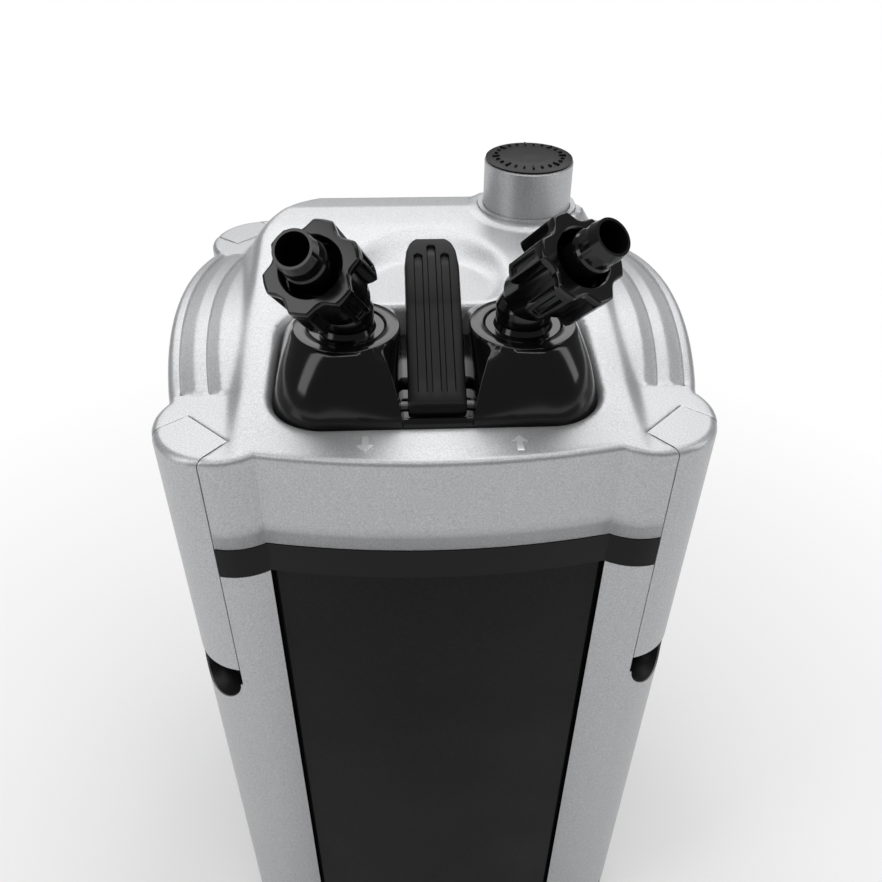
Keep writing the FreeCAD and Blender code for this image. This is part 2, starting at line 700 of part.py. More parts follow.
def latch_lever():
    low, high = rise(S.latch_drop), DECK
    shell = channel(LATCH_IN, low, high, -S.seam_gap).common(walls(SKIRT, low, high))
    edges = [edge for edge in shell.Edges if edge.Curve.TypeId == "Part::GeomCircle"
             and all(abs(v.Z - float(DECK)) < 1e-6 for v in edge.Vertexes)]
    shell = shell.makeFillet(float(S.latch_edge_radius), edges)
    roof_drop = 6
    floor = low + S.latch_wall
    cavity = channel(LATCH_IN - 5, floor, rise(roof_drop), -S.seam_gap - S.latch_wall)
    shell = shell.cut(cavity.common(walls(SKIRT, floor, rise(roof_drop), S.latch_wall)))
    clear_in = float(S.channel_floor) * narrowing(SKIRT_LOW) + float(S.latch_lift_gap)
    shell = shell.cut(hook_slab(float(S.gap_start) - 10, clear_in, low - 1, SKIRT_LOW, 30))
    lug_room = clear_in + float(S.lug_reach)
    lug_half = channel_half(lug_room) - float(S.latch_wall) - 0.5
    shell = shell.cut(hook_slab(clear_in - 1, lug_room, low - 1, floor + 1, lug_half))
    half = channel_half(S.latch_pivot_in) - float(S.seam_gap) - 0.1
    barrel = corner_rod(S.latch_pivot_in, S.latch_pivot_drop, BARREL_ROOM - 0.4, half)
    barrel = barrel.common(channel(S.gap_start - 4, rise(20), DECK))
    tongue = channel(S.latch_pivot_in, rise(5), DECK, -S.seam_gap)
    tongue = tongue.cut(channel(LATCH_IN + 1, rise(9), DECK + 1, 2))
    shell = shell.fuse(barrel).fuse(tongue)
    shell = shell.cut(corner_rod(S.latch_pivot_in, S.latch_pivot_drop,
                                 S.latch_pin_radius + S.running_gap, half + 4))
    return shell.cut(corner_rod(S.hook_pivot_out, S.hook_pivot_drop,
                                S.hook_pin_radius + S.running_gap, 30))


def hook_slab(inner, outer, low, high, half):
    """An upright slab across the front right corner."""
    root = math.sqrt(2)
    points = [(inner, -half), (outer, -half), (outer, half), (inner, half)]
    placed = [Vector((u + v) / root, (v - u) / root, float(low)) for u, v in points]
    wire = Part.makePolygon(placed + placed[:1])
    return Part.Face(wire).extrude(Vector(0, 0, float(high) - float(low)))


def latch_hook():
    pivot, half = float(S.hook_pivot_out), float(S.hook_half_width)
    thick = float(S.hook_thickness) / 2
    nose_top = BAND_LOW - S.hook_play
    nose_low = nose_top - S.hook_nose_height
    nose_out = float(S.hook_nose_out) * narrowing(nose_low)
    arm = hook_slab(pivot - thick, pivot + thick, nose_low, rise(S.hook_pivot_drop), half)
    nose = hook_slab(nose_out, pivot, nose_low, nose_top, half)
    knuckle = corner_rod(S.hook_pivot_out, S.hook_pivot_drop, S.hook_pin_radius + 1.1, half)
    reach = channel_half(S.hook_pivot_out) - float(S.seam_gap) - 0.5
    trunnions = corner_rod(S.hook_pivot_out, S.hook_pivot_drop, S.hook_pin_radius, reach)
    return arm.fuse(nose).fuse(knuckle).fuse(trunnions)


each_corner("latch_lever", latch_lever())
each_corner("latch_hook", latch_hook())
PIN_REACH = channel_half(S.latch_pivot_in) + float(S.cheek_wall) - 0.2
latch_pin = corner_rod(S.latch_pivot_in, S.latch_pivot_drop, S.latch_pin_radius, PIN_REACH)
feature("latch_pins", Part.makeCompound([carried(latch_pin, corner) for corner in range(4)]))


# The head's wet side: base with its pump chamber, ducts and plug, and the gasket


DUCT_LOW = rise(S.plug_bottom)
BASE_TOP = rise(S.base_rise)
BASE_LOW = BASE_TOP - S.base_wall


def flat_duct(start, end, width, low, high):
    """A straight channel between two plan points, with round ends."""
    (ax, ay), (bx, by) = start, end
    run = Vector(bx - ax, by - ay, 0)
    side = Vector(-run.y, run.x, 0).normalize() * (width / 2)
    a, b = Vector(ax, ay, float(low)), Vector(bx, by, float(low))
    wire = Part.makePolygon([a - side, b - side, b + side, a + side, a - side])
    made = Part.Face(wire).extrude(Vector(0, 0, float(high) - float(low)))
    return made.fuse(upright(width / 2, low, high, ax, ay)).fuse(upright(width / 2, low, high, bx, by))


OUT_PORT = (-float(S.ring_place), -float(S.ring_back))
IN_PORT = (float(S.ring_place), -float(S.ring_back))
MOTOR = (float(S.motor_x), float(S.motor_y))
PIPE = (float(S.pipe_place), -float(S.pipe_place))


def head_base():
    play = 0.3
    made = walls(SKIRT, BASE_LOW, BASE_TOP, S.cover_wall + play)
    keep = float(S.cheek_wall) + play
    room = channel(S.channel_floor - keep, rise(90), DECK, keep)
    for corner in range(4):
        made = made.cut(carried(room, corner))
    plug = float(S.neck_setback + S.vessel_wall + S.plug_play)
    groove = plug + float(S.gasket_thick) - 1
    ring = walls(PANEL, DUCT_LOW, BASE_LOW + 0.5, plug)
    gasket_low = rise(S.gasket_drop + S.gasket_height + 0.2)
    ring = ring.cut(walls(PANEL, gasket_low, rise(S.gasket_drop - 0.2), 0).cut(
        walls(PANEL, gasket_low - 1, DECK, groove)))
    made = made.fuse(ring.cut(walls(PANEL, rise(90), DECK, plug + float(S.plug_wall) + 1.4)))
    wall, width = float(S.plug_wall), float(S.duct_width)
    volute = float(S.volute_radius)
    ducts = [(MOTOR, OUT_PORT), (IN_PORT, PIPE)]
    for start, end in ducts:
        made = made.fuse(flat_duct(start, end, width + 4, DUCT_LOW, BASE_LOW + 0.5))
    made = made.fuse(upright(volute + wall, DUCT_LOW, BASE_LOW + 0.5, *MOTOR))
    made = made.fuse(upright(S.well_radius + S.well_wall, BASE_LOW, rise(S.well_top), *MOTOR))
    for port in (OUT_PORT, IN_PORT):
        radius = S.spigot_radius + S.spigot_gap
        floor = rise(S.recess_drop + S.recess_floor + 0.3)
        made = made.fuse(upright(radius + S.riser_wall, BASE_LOW, floor, *port))
        made = made.cut(upright(radius, rise(S.spigot_drop + 1), DECK, *port))
    made = made.fuse(upright(S.pipe_radius - S.pipe_wall - 0.2, DUCT_LOW - 12, DUCT_LOW + 1, *PIPE))
    for start, end in ducts:
        made = made.cut(flat_duct(start, end, width, DUCT_LOW + 2, BASE_LOW - 2))
    for port in (OUT_PORT, IN_PORT):
        made = made.cut(upright(S.port_radius, BASE_LOW - 3, DECK, *port))
    made = made.cut(upright(volute, DUCT_LOW - 1, BASE_LOW, *MOTOR))
    made = made.cut(upright(S.well_radius, DUCT_LOW - 1, rise(S.well_top) - 2, *MOTOR))
    made = made.cut(upright(S.pipe_radius - S.pipe_wall - 2.2, DUCT_LOW - 20, BASE_LOW - 4, *PIPE))
    for sx, sy in SCREW_SPOTS:
        x, y = float(S.screw_x) * sx, float(S.screw_y) * sy
        made = made.cut(upright(S.screw_radius + 0.2, BASE_LOW - 5, BASE_TOP + 1, x, y))
    pump = upright(S.pump_hole, BASE_LOW - 1, BASE_TOP + 1, S.knob_x, S.knob_y)
    return made.cut(pump)


def head_gasket():
    neck = float(S.neck_setback + S.vessel_wall)
    low, high = rise(S.gasket_drop + S.gasket_height), rise(S.gasket_drop)
    outer = walls(PANEL, low, high, neck + 0.3)
    return outer.cut(walls(PANEL, low - 1, high + 1,
                           neck + float(S.plug_play + S.gasket_thick) - 1.1))


feature("head_base", head_base())
feature("head_gasket", head_gasket())


# Motor: housing, stator, coils, rotor, impeller, shaft, bushes, cover


WELL_OUTER = S.well_radius + S.well_wall
STATOR_IN = WELL_OUTER + 0.3
STATOR_OUT = S.motor_radius - S.motor_wall - 0.5
STATOR_LOW, STATOR_HIGH = rise(S.rotor_bottom - 2), rise(S.rotor_top + 3)


def motor_housing():
    top = DECK + S.motor_top - BASE_TOP
    outer, wall = S.motor_radius, S.motor_wall
    hole = WELL_OUTER + 0.2
    profile = [(hole, 0), (outer, 0), (outer, top - 4), (outer - 4, top), (0, top),
               (0, top - wall), (outer - 5, top - wall), (outer - wall, top - 5), (outer - wall, wall),
               (hole, wall)]
    return turned("motor_housing", profile, S.motor_x, S.motor_y, BASE_TOP + 0.05)


def stator_core():
    made = body("stator_core")
    drawn = sketch(made)
    ring_line(drawn, 0, 0, STATOR_OUT)
    ring_line(drawn, 0, 0, STATOR_IN)
    pad(made, drawn, STATOR_HIGH - STATOR_LOW)
    slot = sketch(made, lift=STATOR_HIGH - STATOR_LOW)
    half, inner, outer = 2.6, STATOR_IN + 2.5, STATOR_OUT - 4
    polygon(slot, [(inner, -half), (outer, -half), (outer, half), (inner, half)])
    cut = pocket(made, slot, STATOR_HIGH - STATOR_LOW)
    pattern = made.newObject("PartDesign::PolarPattern", "slots")
    pattern.Originals = [cut]
    pattern.Axis = (drawn, ["N_Axis"])
    pattern.Angle = 360
    pattern.Occurrences = 8
    made.Tip = pattern
    return place(made, S.motor_x, S.motor_y, STATOR_LOW)


def winding(low):
    outer = rod(STATOR_OUT - 4.5, 3, S.motor_x, S.motor_y, low)
    inner = rod(STATOR_IN + 2, 3, S.motor_x, S.motor_y, low)
    return minus("winding", outer, inner)


motor_housing()
stator_core()
group("stator_windings", [winding(STATOR_LOW - 3.05), winding(STATOR_HIGH + 0.05)])

ROTOR_LENGTH = S.rotor_bottom - S.rotor_top
BORE = S.shaft_radius + S.running_gap
turned("rotor_magnet", tube_profile(BORE, S.rotor_radius, 0, ROTOR_LENGTH),
       S.motor_x, S.motor_y, rise(S.rotor_bottom))

IMPELLER_LOW = rise(S.plug_bottom - 5.2)
IMPELLER_TOP = rise(S.rotor_bottom)


def impeller():
    made = body("impeller")
    height = IMPELLER_TOP - IMPELLER_LOW
    disc = sketch(made)
    ring_line(disc, 0, 0, 4.5)
    ring_line(disc, 0, 0, BORE)
    pad(made, disc, height)
    blade = sketch(made)
    half = S.blade_width / 2
    polygon(blade, [(3.8, -half), (S.impeller_radius, -half), (S.impeller_radius, half), (3.8, half)])
    vane = pad(made, blade, S.impeller_height - 1)
    pattern = made.newObject("PartDesign::PolarPattern", "vanes")
    pattern.Originals = [vane]
    pattern.Axis = (blade, ["N_Axis"])
    pattern.Angle = 360
    bind(pattern, "Occurrences", S.blade_count)
    made.Tip = pattern
    return place(made, S.motor_x, S.motor_y, IMPELLER_LOW)


impeller()
SHAFT_LOW = DUCT_LOW - 2.4
SHAFT_HIGH = rise(S.well_top) - 2.3
shaft = rod(S.shaft_radius, SHAFT_HIGH - SHAFT_LOW, S.motor_x, S.motor_y, SHAFT_LOW)
shaft.Label = "impeller_shaft"


def bush(low, outer):
    tube = rod(outer, 3, S.motor_x, S.motor_y, low)
    hole = rod(S.shaft_radius + 0.01, 3, S.motor_x, S.motor_y, low)
    return minus("bush", tube, hole)


group("shaft_bushes", [bush(SHAFT_HIGH - 3, S.well_radius - 0.05), bush(DUCT_LOW - 2.3, 4)])


def impeller_cover():
    """The plate under the pump chamber, with the eye that water is drawn in through."""
    made = body("impeller_cover")
    outer = S.volute_radius + S.plug_wall
    plate = sketch(made)
    ring_line(plate, 0, 0, outer)
    ring_line(plate, 0, 0, S.eye_radius)
    pad(made, plate, 2.6)
    spoke = sketch(made)
    polygon(spoke, [(4.2, -1.2), (S.eye_radius + 1, -1.2), (S.eye_radius + 1, 1.2), (4.2, 1.2)])
    arm = pad(made, spoke, 2.6)
    pattern = made.newObject("PartDesign::PolarPattern", "spokes")
    pattern.Originals = [arm]
    pattern.Axis = (spoke, ["N_Axis"])
    pattern.Angle = 360
    pattern.Occurrences = 3
    made.Tip = pattern
    hub = sketch(made)
    ring_line(hub, 0, 0, 5.4)
    ring_line(hub, 0, 0, 4.02)
    pad(made, hub, 2.6)
    return place(made, S.motor_x, S.motor_y, DUCT_LOW - 2.65)


impeller_cover()


def head_screw(sx, sy):
    x, y = S.screw_x * sx, S.screw_y * sy
    shank = rod(S.screw_radius, 16, x, y, BASE_LOW - 1)
    head = rod(S.screw_head, 2.4, x, y, BASE_LOW - 2.5)
    return joined("screw", [shank, head])


group("head_screws", [head_screw(sx, sy) for sx, sy in SCREW_SPOTS])


# Priming pump: collar, cylinder, knob sleeve, cap, piston, seal, spring and flap


KNOB_LOW = DECK + S.knob_bottom
SLEEVE_IN = S.knob_radius - S.knob_wall
PUMP_OUT = S.pump_radius + S.pump_wall
turned("priming_collar", tube_profile(S.knob_radius + S.collar_gap, S.collar_radius, -14, 1.2),
       S.knob_x, S.knob_y, DECK + S.collar_rise)
turned("priming_cylinder",
       [(S.pump_hole - 1, 0), (PUMP_OUT, 0), (PUMP_OUT, S.pump_top + S.base_rise),
        (S.pump_radius, S.pump_top + S.base_rise), (S.pump_radius, 2.5), (S.pump_hole - 1, 2.5)],
       S.knob_x, S.knob_y, BASE_TOP + 0.05)
turned("knob_sleeve",
       [(SLEEVE_IN, 0), (S.knob_radius, 0), (S.knob_radius, S.knob_rise - S.knob_bottom - 0.8),
        (S.knob_radius - 0.8, S.knob_rise - S.knob_bottom), (SLEEVE_IN, S.knob_rise - S.knob_bottom)],
       S.knob_x, S.knob_y, KNOB_LOW)
turned("knob_cap",
       [(0, -2), (SLEEVE_IN - 0.1, -2), (SLEEVE_IN - 0.1, 0.05), (S.knob_radius - 0.4, 0.05),
        (S.knob_radius - 0.5, 0.8), (S.knob_radius - 3, 1.3), (S.knob_radius / 2, S.cap_height + 0.3),
        (0, S.cap_height + 0.6)],
       S.knob_x, S.knob_y, DECK + S.knob_rise)
PISTON_R = S.pump_radius - S.piston_gap
PISTON_LOW = DECK + S.piston_rise - S.piston_height
SEAL_LOW = 2.4
turned("priming_piston",
       [(0, 0), (PISTON_R, 0), (PISTON_R, SEAL_LOW), (PISTON_R - 1.6, SEAL_LOW),
        (PISTON_R - 1.6, SEAL_LOW + 2), (PISTON_R, SEAL_LOW + 2), (PISTON_R, S.piston_height),
        (S.rod_radius, S.piston_height), (S.rod_radius, S.knob_rise - S.piston_rise + S.piston_height - 2),
        (0, S.knob_rise - S.piston_rise + S.piston_height - 2)],
       S.knob_x, S.knob_y, PISTON_LOW)
turned("piston_seal", tube_profile(PISTON_R - 1.55, S.pump_radius - 0.05, 0.1, 1.9),
       S.knob_x, S.knob_y, PISTON_LOW + SEAL_LOW)


def priming_spring():
    """A coil of quarter turns that pushes the piston back up."""
    radius, wire = float(S.spring_radius), float(S.spring_wire) / 2
    low = float(BASE_TOP) + 2.6 + wire
    high = float(PISTON_LOW) - 0.1 - wire
    turns = int(float(S.spring_turns))
    quarters = turns * 4
    x, y = float(S.knob_x), float(S.knob_y)

    def at(quarter):
        angle = quarter * math.pi / 2
        return Vector(x + radius * math.cos(angle), y + radius * math.sin(angle),
                      low + (high - low) * quarter / quarters)

    arcs = [Part.Arc(at(step), at(step + 0.5), at(step + 1)).toShape() for step in range(quarters)]
    path = Part.Wire(arcs)
    section = Part.Wire(Part.makeCircle(wire, at(0), arcs[0].tangentAt(arcs[0].FirstParameter)))
    return path.makePipeShell([section], True, False)


feature("priming_spring", priming_spring())
flap = rod(S.pump_hole + 3, 1.2, S.knob_x, S.knob_y, BASE_LOW - 1.3)
flap.Label = "priming_flap"


# Valve block: pods, ports and a valley for the lever


BLOCK_LOW = rise(S.recess_drop - 0.3)
VALVE_Z = rise(S.valve_drop)


def pod_loft(side, shrink=0):
    """One pod: a rounded foot that rises to the round port at its top."""
    shrink = float(shrink)
    half, reach = float(S.block_half) - shrink, float(S.ring_radius) - shrink * 0.5
    cx, cy = float(S.ring_place), -float(S.ring_back)
    front, back = -float(S.block_front) + shrink, -float(S.block_back) - shrink
    foot, top = float(DECK) - 4, float(DECK + S.ring_rise)

    def section(mix, z):
        """mix 0 is the foot, 1 is the ring."""
        near = 5 + (cx - reach - 5) * mix
        far = half + (cx + reach - half) * mix
        low = front + (cy - reach - front) * mix
        high = back + (cy + reach - back) * mix
        radius = float(S.block_corner) - shrink
        radius = radius + (reach - 0.3 - radius) * mix
        return rounded(far, low, high, min(radius, (far - near) / 2 - 0.1, (high - low) / 2 - 0.1),
                       z, near)

    levels = [(0, foot), (0.16, foot + 9), (0.42, foot + 18), (0.78, top - 4), (1, top)]
    if shrink:
        levels[-1] = (0.9, top - 3)
        levels[-2] = (0.7, top - 7)
    made = Part.makeLoft([section(mix, z) for mix, z in levels], True, True)
    if side < 0:
        made = made.mirror(Vector(0, 0, 0), Vector(1, 0, 0))
    return made


def valley(grow=0):
    """The valley in which the lever lies: a V in front, and upright walls beside the rings."""
    low, top = float(rise(S.valley_drop)) - grow, float(DECK + S.ring_rise) + 8
    narrow, wide = float(S.valley_half) + grow, float(S.valley_top_half) + grow

    def prism(start, end, z, upper):
        half = narrow + (upper - narrow) * (z - low) / (top - low)
        face = Part.Face(Part.makePolygon([Vector(-half, start, z), Vector(half, start, z),
                                           Vector(upper, start, top), Vector(-upper, start, top),
                                           Vector(-half, start, z)]))
        return face.extrude(Vector(0, end - start, 0))

    front, back = -float(S.block_front), -float(S.block_back) + 10
    turn = -float(S.ring_back + S.valley_turn) + grow
    lip = float(DECK + S.lip_rise) - grow
    inside = front + float(S.lip_thick) + 0.6 - grow
    opened = prism(inside, turn, low, wide).fuse(prism(turn - 1, back, low, narrow))
    return opened.fuse(prism(front - 10, turn, lip, wide))


def front_lip():
    """The low wall that joins the pods' feet in front of the lever."""
    half = float(S.valley_half) + 2
    return Part.makeBox(half * 2, float(S.lip_thick), float(S.lip_rise) + 5,
                        Vector(-half, 0.6 - float(S.block_front), float(DECK) - 5))


def along_x(radius, start, end, y, z):
    return Part.makeCylinder(float(radius), float(end) - float(start),
                             Vector(float(start), float(y), float(z)), Vector(1, 0, 0))


def valve_block():
    foot = float(DECK) - 4
    made = Part.makeLoft([block_plan(0, BLOCK_LOW), block_plan(0, foot)], True, True)
    made = made.fuse(pod_loft(1)).fuse(pod_loft(-1)).fuse(front_lip())
    wall = float(S.chamber_wall)
    hollow = Part.makeLoft([block_plan(-2.6, BLOCK_LOW - 1), block_plan(-2.6, foot)], True, True)
    hollow = hollow.fuse(pod_loft(1, 2.6)).fuse(pod_loft(-1, 2.6)).cut(valley(2.4))
    ring_top, back = DECK + S.ring_rise, -float(S.ring_back)
    chamber = S.valve_radius + 0.06
    half = float(S.valve_half)
    for side in (-1, 1):
        x = side * float(S.ring_place)
        hollow = hollow.cut(upright(S.socket_radius + wall, VALVE_Z, ring_top, x, back))
        hollow = hollow.cut(along_x(chamber + wall, x - half - wall, x + half + wall, back, VALVE_Z))
    made = made.cut(valley()).cut(hollow)
    for side in (-1, 1):
        x = side * float(S.ring_place)
        made = made.fuse(upright(S.spigot_radius, rise(S.spigot_drop), rise(S.valve_drop + 5), x, back))
    for side in (-1, 1):
        x = side * float(S.ring_place)
        made = made.cut(upright(S.socket_radius, ring_top - S.socket_depth, DECK + 60, x, back))
        made = made.cut(upright(S.port_radius, rise(60), DECK + 60, x, back))
        made = made.cut(along_x(chamber, x - half - 0.1, x + half + 0.1, back, VALVE_Z))
        groove = upright(S.spigot_radius + 1, rise(S.port_seal_drop + 1), rise(S.port_seal_drop - 1), x, back)
        core = upright(S.spigot_radius - S.seal_thick, rise(S.port_seal_drop + 2),
                       rise(S.port_seal_drop - 2), x, back)
        made = made.cut(groove.cut(core))
    reach = float(S.ring_place) - half
    made = made.cut(along_x(S.valve_shaft_radius + S.running_gap, -reach, reach, back, VALVE_Z))
    pivot_y, pivot_z = -float(S.lever_pivot_front), DECK + S.lever_pivot_rise
    pin_half = float(S.valley_half) + 5
    return made.cut(along_x(S.lever_pin_radius, -pin_half, pin_half, pivot_y, pivot_z))


feature("valve_block", valve_block())


def port_seal(side):
    z = rise(S.port_seal_drop + 0.9)
    outer = rod(S.spigot_radius + S.spigot_gap - 0.1, 1.8, S.ring_place * side, -S.ring_back, z)
    inner = rod(S.spigot_radius - S.seal_thick + 0.05, 1.8, S.ring_place * side, -S.ring_back, z)
    return minus("seal", outer, inner)


group("port_seals", [port_seal(-1), port_seal(1)])


def valve_barrel(label, side):
    """A turning plug with a straight bore, open while the lever is down."""
    half = S.valve_half
    plug = rod(S.valve_radius, half * 2, S.ring_place * side - half, -S.ring_back, VALVE_Z, (0, 1, 0), 90)
    bore = rod(S.port_radius - 0.4, 30, S.ring_place * side, -S.ring_back, VALVE_Z - 15)
    return minus(label, plug, bore)


valve_barrel("valve_barrel_out", -1)
valve_barrel("valve_barrel_in", 1)


def valve_shaft():
    reach = float(S.ring_place - S.valve_half)
    y, z = -float(S.ring_back), float(VALVE_Z)
    made = along_x(S.valve_shaft_radius, -reach, reach, y, z)
    made = made.fuse(along_x(4, -3.5, 3.5, y, z))
    arm = Part.makeBox(7, 5, 10, Vector(-3.5, y - 2.5, z))
    return made.fuse(arm)


feature("valve_shaft", valve_shaft())


# The lever that locks the block and turns the valves


LEVER_PIVOT = Vector(0, -float(S.lever_pivot_front), float(DECK + S.lever_pivot_rise))


def lever_profile(low, high):
    """The lever's side profile between two depths under its top face, as a wire at x = 0."""
    nose = float(S.lever_nose)
    bend = Vector(0, -float(S.lever_bend_front), float(DECK + S.lever_bend_rise))
    end = Vector(0, -float(S.lever_end_front), float(DECK + S.lever_end_rise))
    run = bend - LEVER_PIVOT
    slope = math.atan2(run.z, run.y) - math.asin(nose / run.Length)
    up = Vector(0, -math.sin(slope), math.cos(slope))
    start = LEVER_PIVOT + up * nose
    knee = start + (bend - start) * 0.72
    soft = Vector(0, -0.12, 1).normalize()
    top = [start, knee, bend, end]
    normals = [up, up, (up + soft).normalize(), soft]
    upper = [p - n * low for p, n in zip(top, normals)]
    lower = [p - n * high for p, n in zip(top, normals)]
    edges = [Part.LineSegment(upper[0], upper[1]), Part.Arc(upper[1], upper[2], upper[3]),
             Part.LineSegment(upper[3], lower[3]), Part.Arc(lower[3], lower[2], lower[1]),
             Part.LineSegment(lower[1], lower[0]), Part.LineSegment(lower[0], upper[0])]
    return Part.Wire([edge.toShape() for edge in edges])


def lever_slab(low, high, start, end):
    slab = Part.Face(lever_profile(low, high)).extrude(Vector(end - start, 0, 0))
    slab.translate(Vector(start, 0, 0))
    return slab


def lock_lever():
    half, thick = float(S.lever_half), float(S.lever_thick)
    nose = float(S.lever_nose)
    made = lever_slab(0, thick, -half, half)
    made = made.fuse(along_x(nose, -half, half, LEVER_PIVOT.y, LEVER_PIVOT.z))
    end, bend = -float(S.lever_end_front), -float(S.lever_bend_front)
    tip = float(S.lever_tip_half)
    plan = [(-half, -100), (half, -100), (half, bend + 2), (half - 1, end - 6.5), (tip, end + 2),
            (-tip, end + 2), (1 - half, end - 6.5), (-half, bend + 2), (-half, -100)]
    column = Part.Face(Part.makePolygon([Vector(x, y, float(DECK) - 20) for x, y in plan]))
    made = made.common(column.extrude(Vector(0, 0, 90)))
    width, depth = float(S.groove_width) / 2, float(S.groove_depth)
    reach = Part.makeBox(60, 56, 80, Vector(-30, -float(S.lever_pivot_front) + 2, float(DECK) - 10))
    for step in (-1, 0, 1):
        x = step * float(S.groove_pitch)
        made = made.cut(lever_slab(-2, depth, x - width, x + width).common(reach))
        dot = upright(1.1, DECK + 30, DECK + 60, x * 0.85, end - (5 if step == 0 else 8.5))
        made = made.cut(dot.common(lever_slab(-5, 1.2, -half, half)))
    pin = along_x(S.lever_pin_radius + S.running_gap, -30, 30, LEVER_PIVOT.y, LEVER_PIVOT.z)
    return made.cut(pin)


feature("lock_lever", lock_lever())
PIN_HALF = S.valley_half + 4.8
lever_pin = rod(S.lever_pin_radius, PIN_HALF * 2, -PIN_HALF, -S.lever_pivot_front,
                DECK + S.lever_pivot_rise, (0, 1, 0), 90)
lever_pin.Label = "lever_pin"


# Hose connectors: a swivelling elbow, its seal, and a lobed nut that grips the hose


TILT = S.elbow_tilt


def connector(label, side, turn):
    """An elbow in its own frame: the port's top at zero, the branch tilted towards +X."""
    made = body(label)
    plug = S.socket_radius - S.plug_gap
    lathe(made, [(0, -S.plug_depth), (plug, -S.plug_depth), (plug, -1), (plug - 0.6, -0.5),
                 (S.elbow_radius + 0.8, -0.5), (S.elbow_radius, 1.5), (S.elbow_radius, S.elbow_rise - 2),
                 (S.elbow_radius - 2.5, S.elbow_rise + 2.5), (S.elbow_radius - 7, S.elbow_rise + 4.8),
                 (0, S.elbow_rise + 5.4)])
    branch = [(0, -4), (7, -4), (S.elbow_radius, 2), (S.elbow_radius, S.thread_start - 2),
              (S.thread_radius, S.thread_start), (S.thread_radius, S.thread_end),
              (S.neck_radius, S.thread_end + 1.5), (S.neck_radius, S.bead_start - 1),
              (S.bead_radius, S.bead_start), (S.bead_radius, S.bead_start + 1.6),
              (S.barb_radius, S.bead_start + 2.8), (S.barb_radius, S.barb_end - 4),
              (S.barb_tip_radius, S.barb_end), (0, S.barb_end)]
    lathe(made, branch, False, -float(TILT), (0, S.elbow_rise))
    lathe(made, [(0, -S.plug_depth - 1), (S.port_radius, -S.plug_depth - 1),
                 (S.port_radius, S.elbow_rise - 3), (S.port_radius - 3.5, S.elbow_rise + 1), (0, S.elbow_rise + 2)],
          True)
    lathe(made, [(0, -3), (S.barb_bore, 0), (S.barb_bore, S.barb_end - 2),
                 (S.barb_tip_radius - 0.8, S.barb_end + 1), (0, S.barb_end + 1)],
          True, -float(TILT), (0, S.elbow_rise))
    lathe(made, tube_profile(plug - S.seal_thick, plug + 1, -8, -6), True)
    return place(made, S.ring_place * side, -S.ring_back, DECK + S.ring_rise, (0, 0, 1), turn)


def connector_seal(label, side):
    plug = S.socket_radius - S.plug_gap
    return turned(label, tube_profile(plug - S.seal_thick + 0.05, S.socket_radius - 0.04, -7.9, -6.1),
                  S.ring_place * side, -S.ring_back, DECK + S.ring_rise)


def lock_nut(label, side, turn):
    """A nut with finger lobes, in its own frame along Z, then tilted onto the branch."""
    made = body(label)
    length = S.nut_end - S.nut_start
    bore = S.thread_radius + S.running_gap
    lathe(made, [(bore, 0), (S.nut_radius - 0.6, 0), (S.nut_radius, 1), (S.nut_radius, length - 3),
                 (S.nut_radius - 1.4, length), (S.nut_mouth, length), (S.nut_mouth, length - 6),
                 (bore, length - 8)])
    rib = sketch(made)
    half, far = S.lobe_width / 2, S.lobe_radius
    polygon(rib, [(S.nut_radius - 0.8, -half), (far - 1.6, -half), (far, 0.8 - half), (far, half - 0.8),
                  (far - 1.6, half), (S.nut_radius - 0.8, half)])
    lobe = pad(made, rib, length - 1.5)
    pattern = made.newObject("PartDesign::PolarPattern", "lobes")
    pattern.Originals = [lobe]
    pattern.Axis = (rib, ["N_Axis"])
    pattern.Angle = 360
    pattern.Occurrences = 6
    made.Tip = pattern
    tilt = Rotation(Vector(0, 0, 1), float(turn)).multiply(Rotation(Vector(0, 1, 0), float(TILT)))
    out = tilt.multVec(Vector(0, 0, float(S.nut_start)))
    made.Placement = Placement(Vector(side * float(S.ring_place) + out.x, out.y - float(S.ring_back),
                                      float(DECK + S.ring_rise + S.elbow_rise) + out.z), tilt)
    return made


for name, side, turn in (("outlet", -1, S.out_turn), ("inlet", 1, S.in_turn)):
    connector(name + "_connector", side, turn)
    connector_seal(name + "_connector_seal", side)
    lock_nut(name + "_lock_nut", side, turn)


# Cord gland at the back of the head


def back_wall(x, z):
    """How far back the head's rear wall stands at x and height z."""
    sag = float(S.bow_reach - S.crease_reach)
    radius = (float(S.crease_half) ** 2 + sag ** 2) / (2 * sag)
    scale = narrowing(z)
    return (float(S.bow_reach) - radius + math.sqrt(radius ** 2 - (float(x) / scale) ** 2)) * scale


def cord_gland():
    """A rubber gland held by a flange behind the rear wall; only its outer end grips the cord."""
    made = body("cord_gland")
    lathe(made, [(S.gland_room, -12), (S.gland_radius, -12), (S.gland_radius, -9),
                 (S.gland_flange, -8.6), (S.gland_flange, -5.4), (S.gland_radius, -5.2),
                 (S.gland_radius, S.gland_reach - 1.6), (S.gland_radius - 1.2, S.gland_reach),
                 (S.gland_bore, S.gland_reach), (S.gland_bore, S.gland_reach - S.gland_grip),
                 (S.gland_room, S.gland_reach - S.gland_grip - 0.4)])
    height = rise(S.gland_drop)
    made.Placement = Placement(Vector(float(S.gland_x), back_wall(S.gland_x, height), float(height)),
                               Rotation(Vector(1, 0, 0), -90))
    return made


cord_gland()


# Baskets, their lid, the media in them, and the intake pipe beside them


def basket_outline(inset=0):
    half, cut, pipe = S.basket_half - inset, S.basket_cut, S.basket_pipe_cut
    return [(-half, cut - half), (cut - half, -half), (half - pipe, -half), (half, pipe - half),
            (half, half - cut), (half - cut, half), (cut - half, half), (-half, half - cut)]


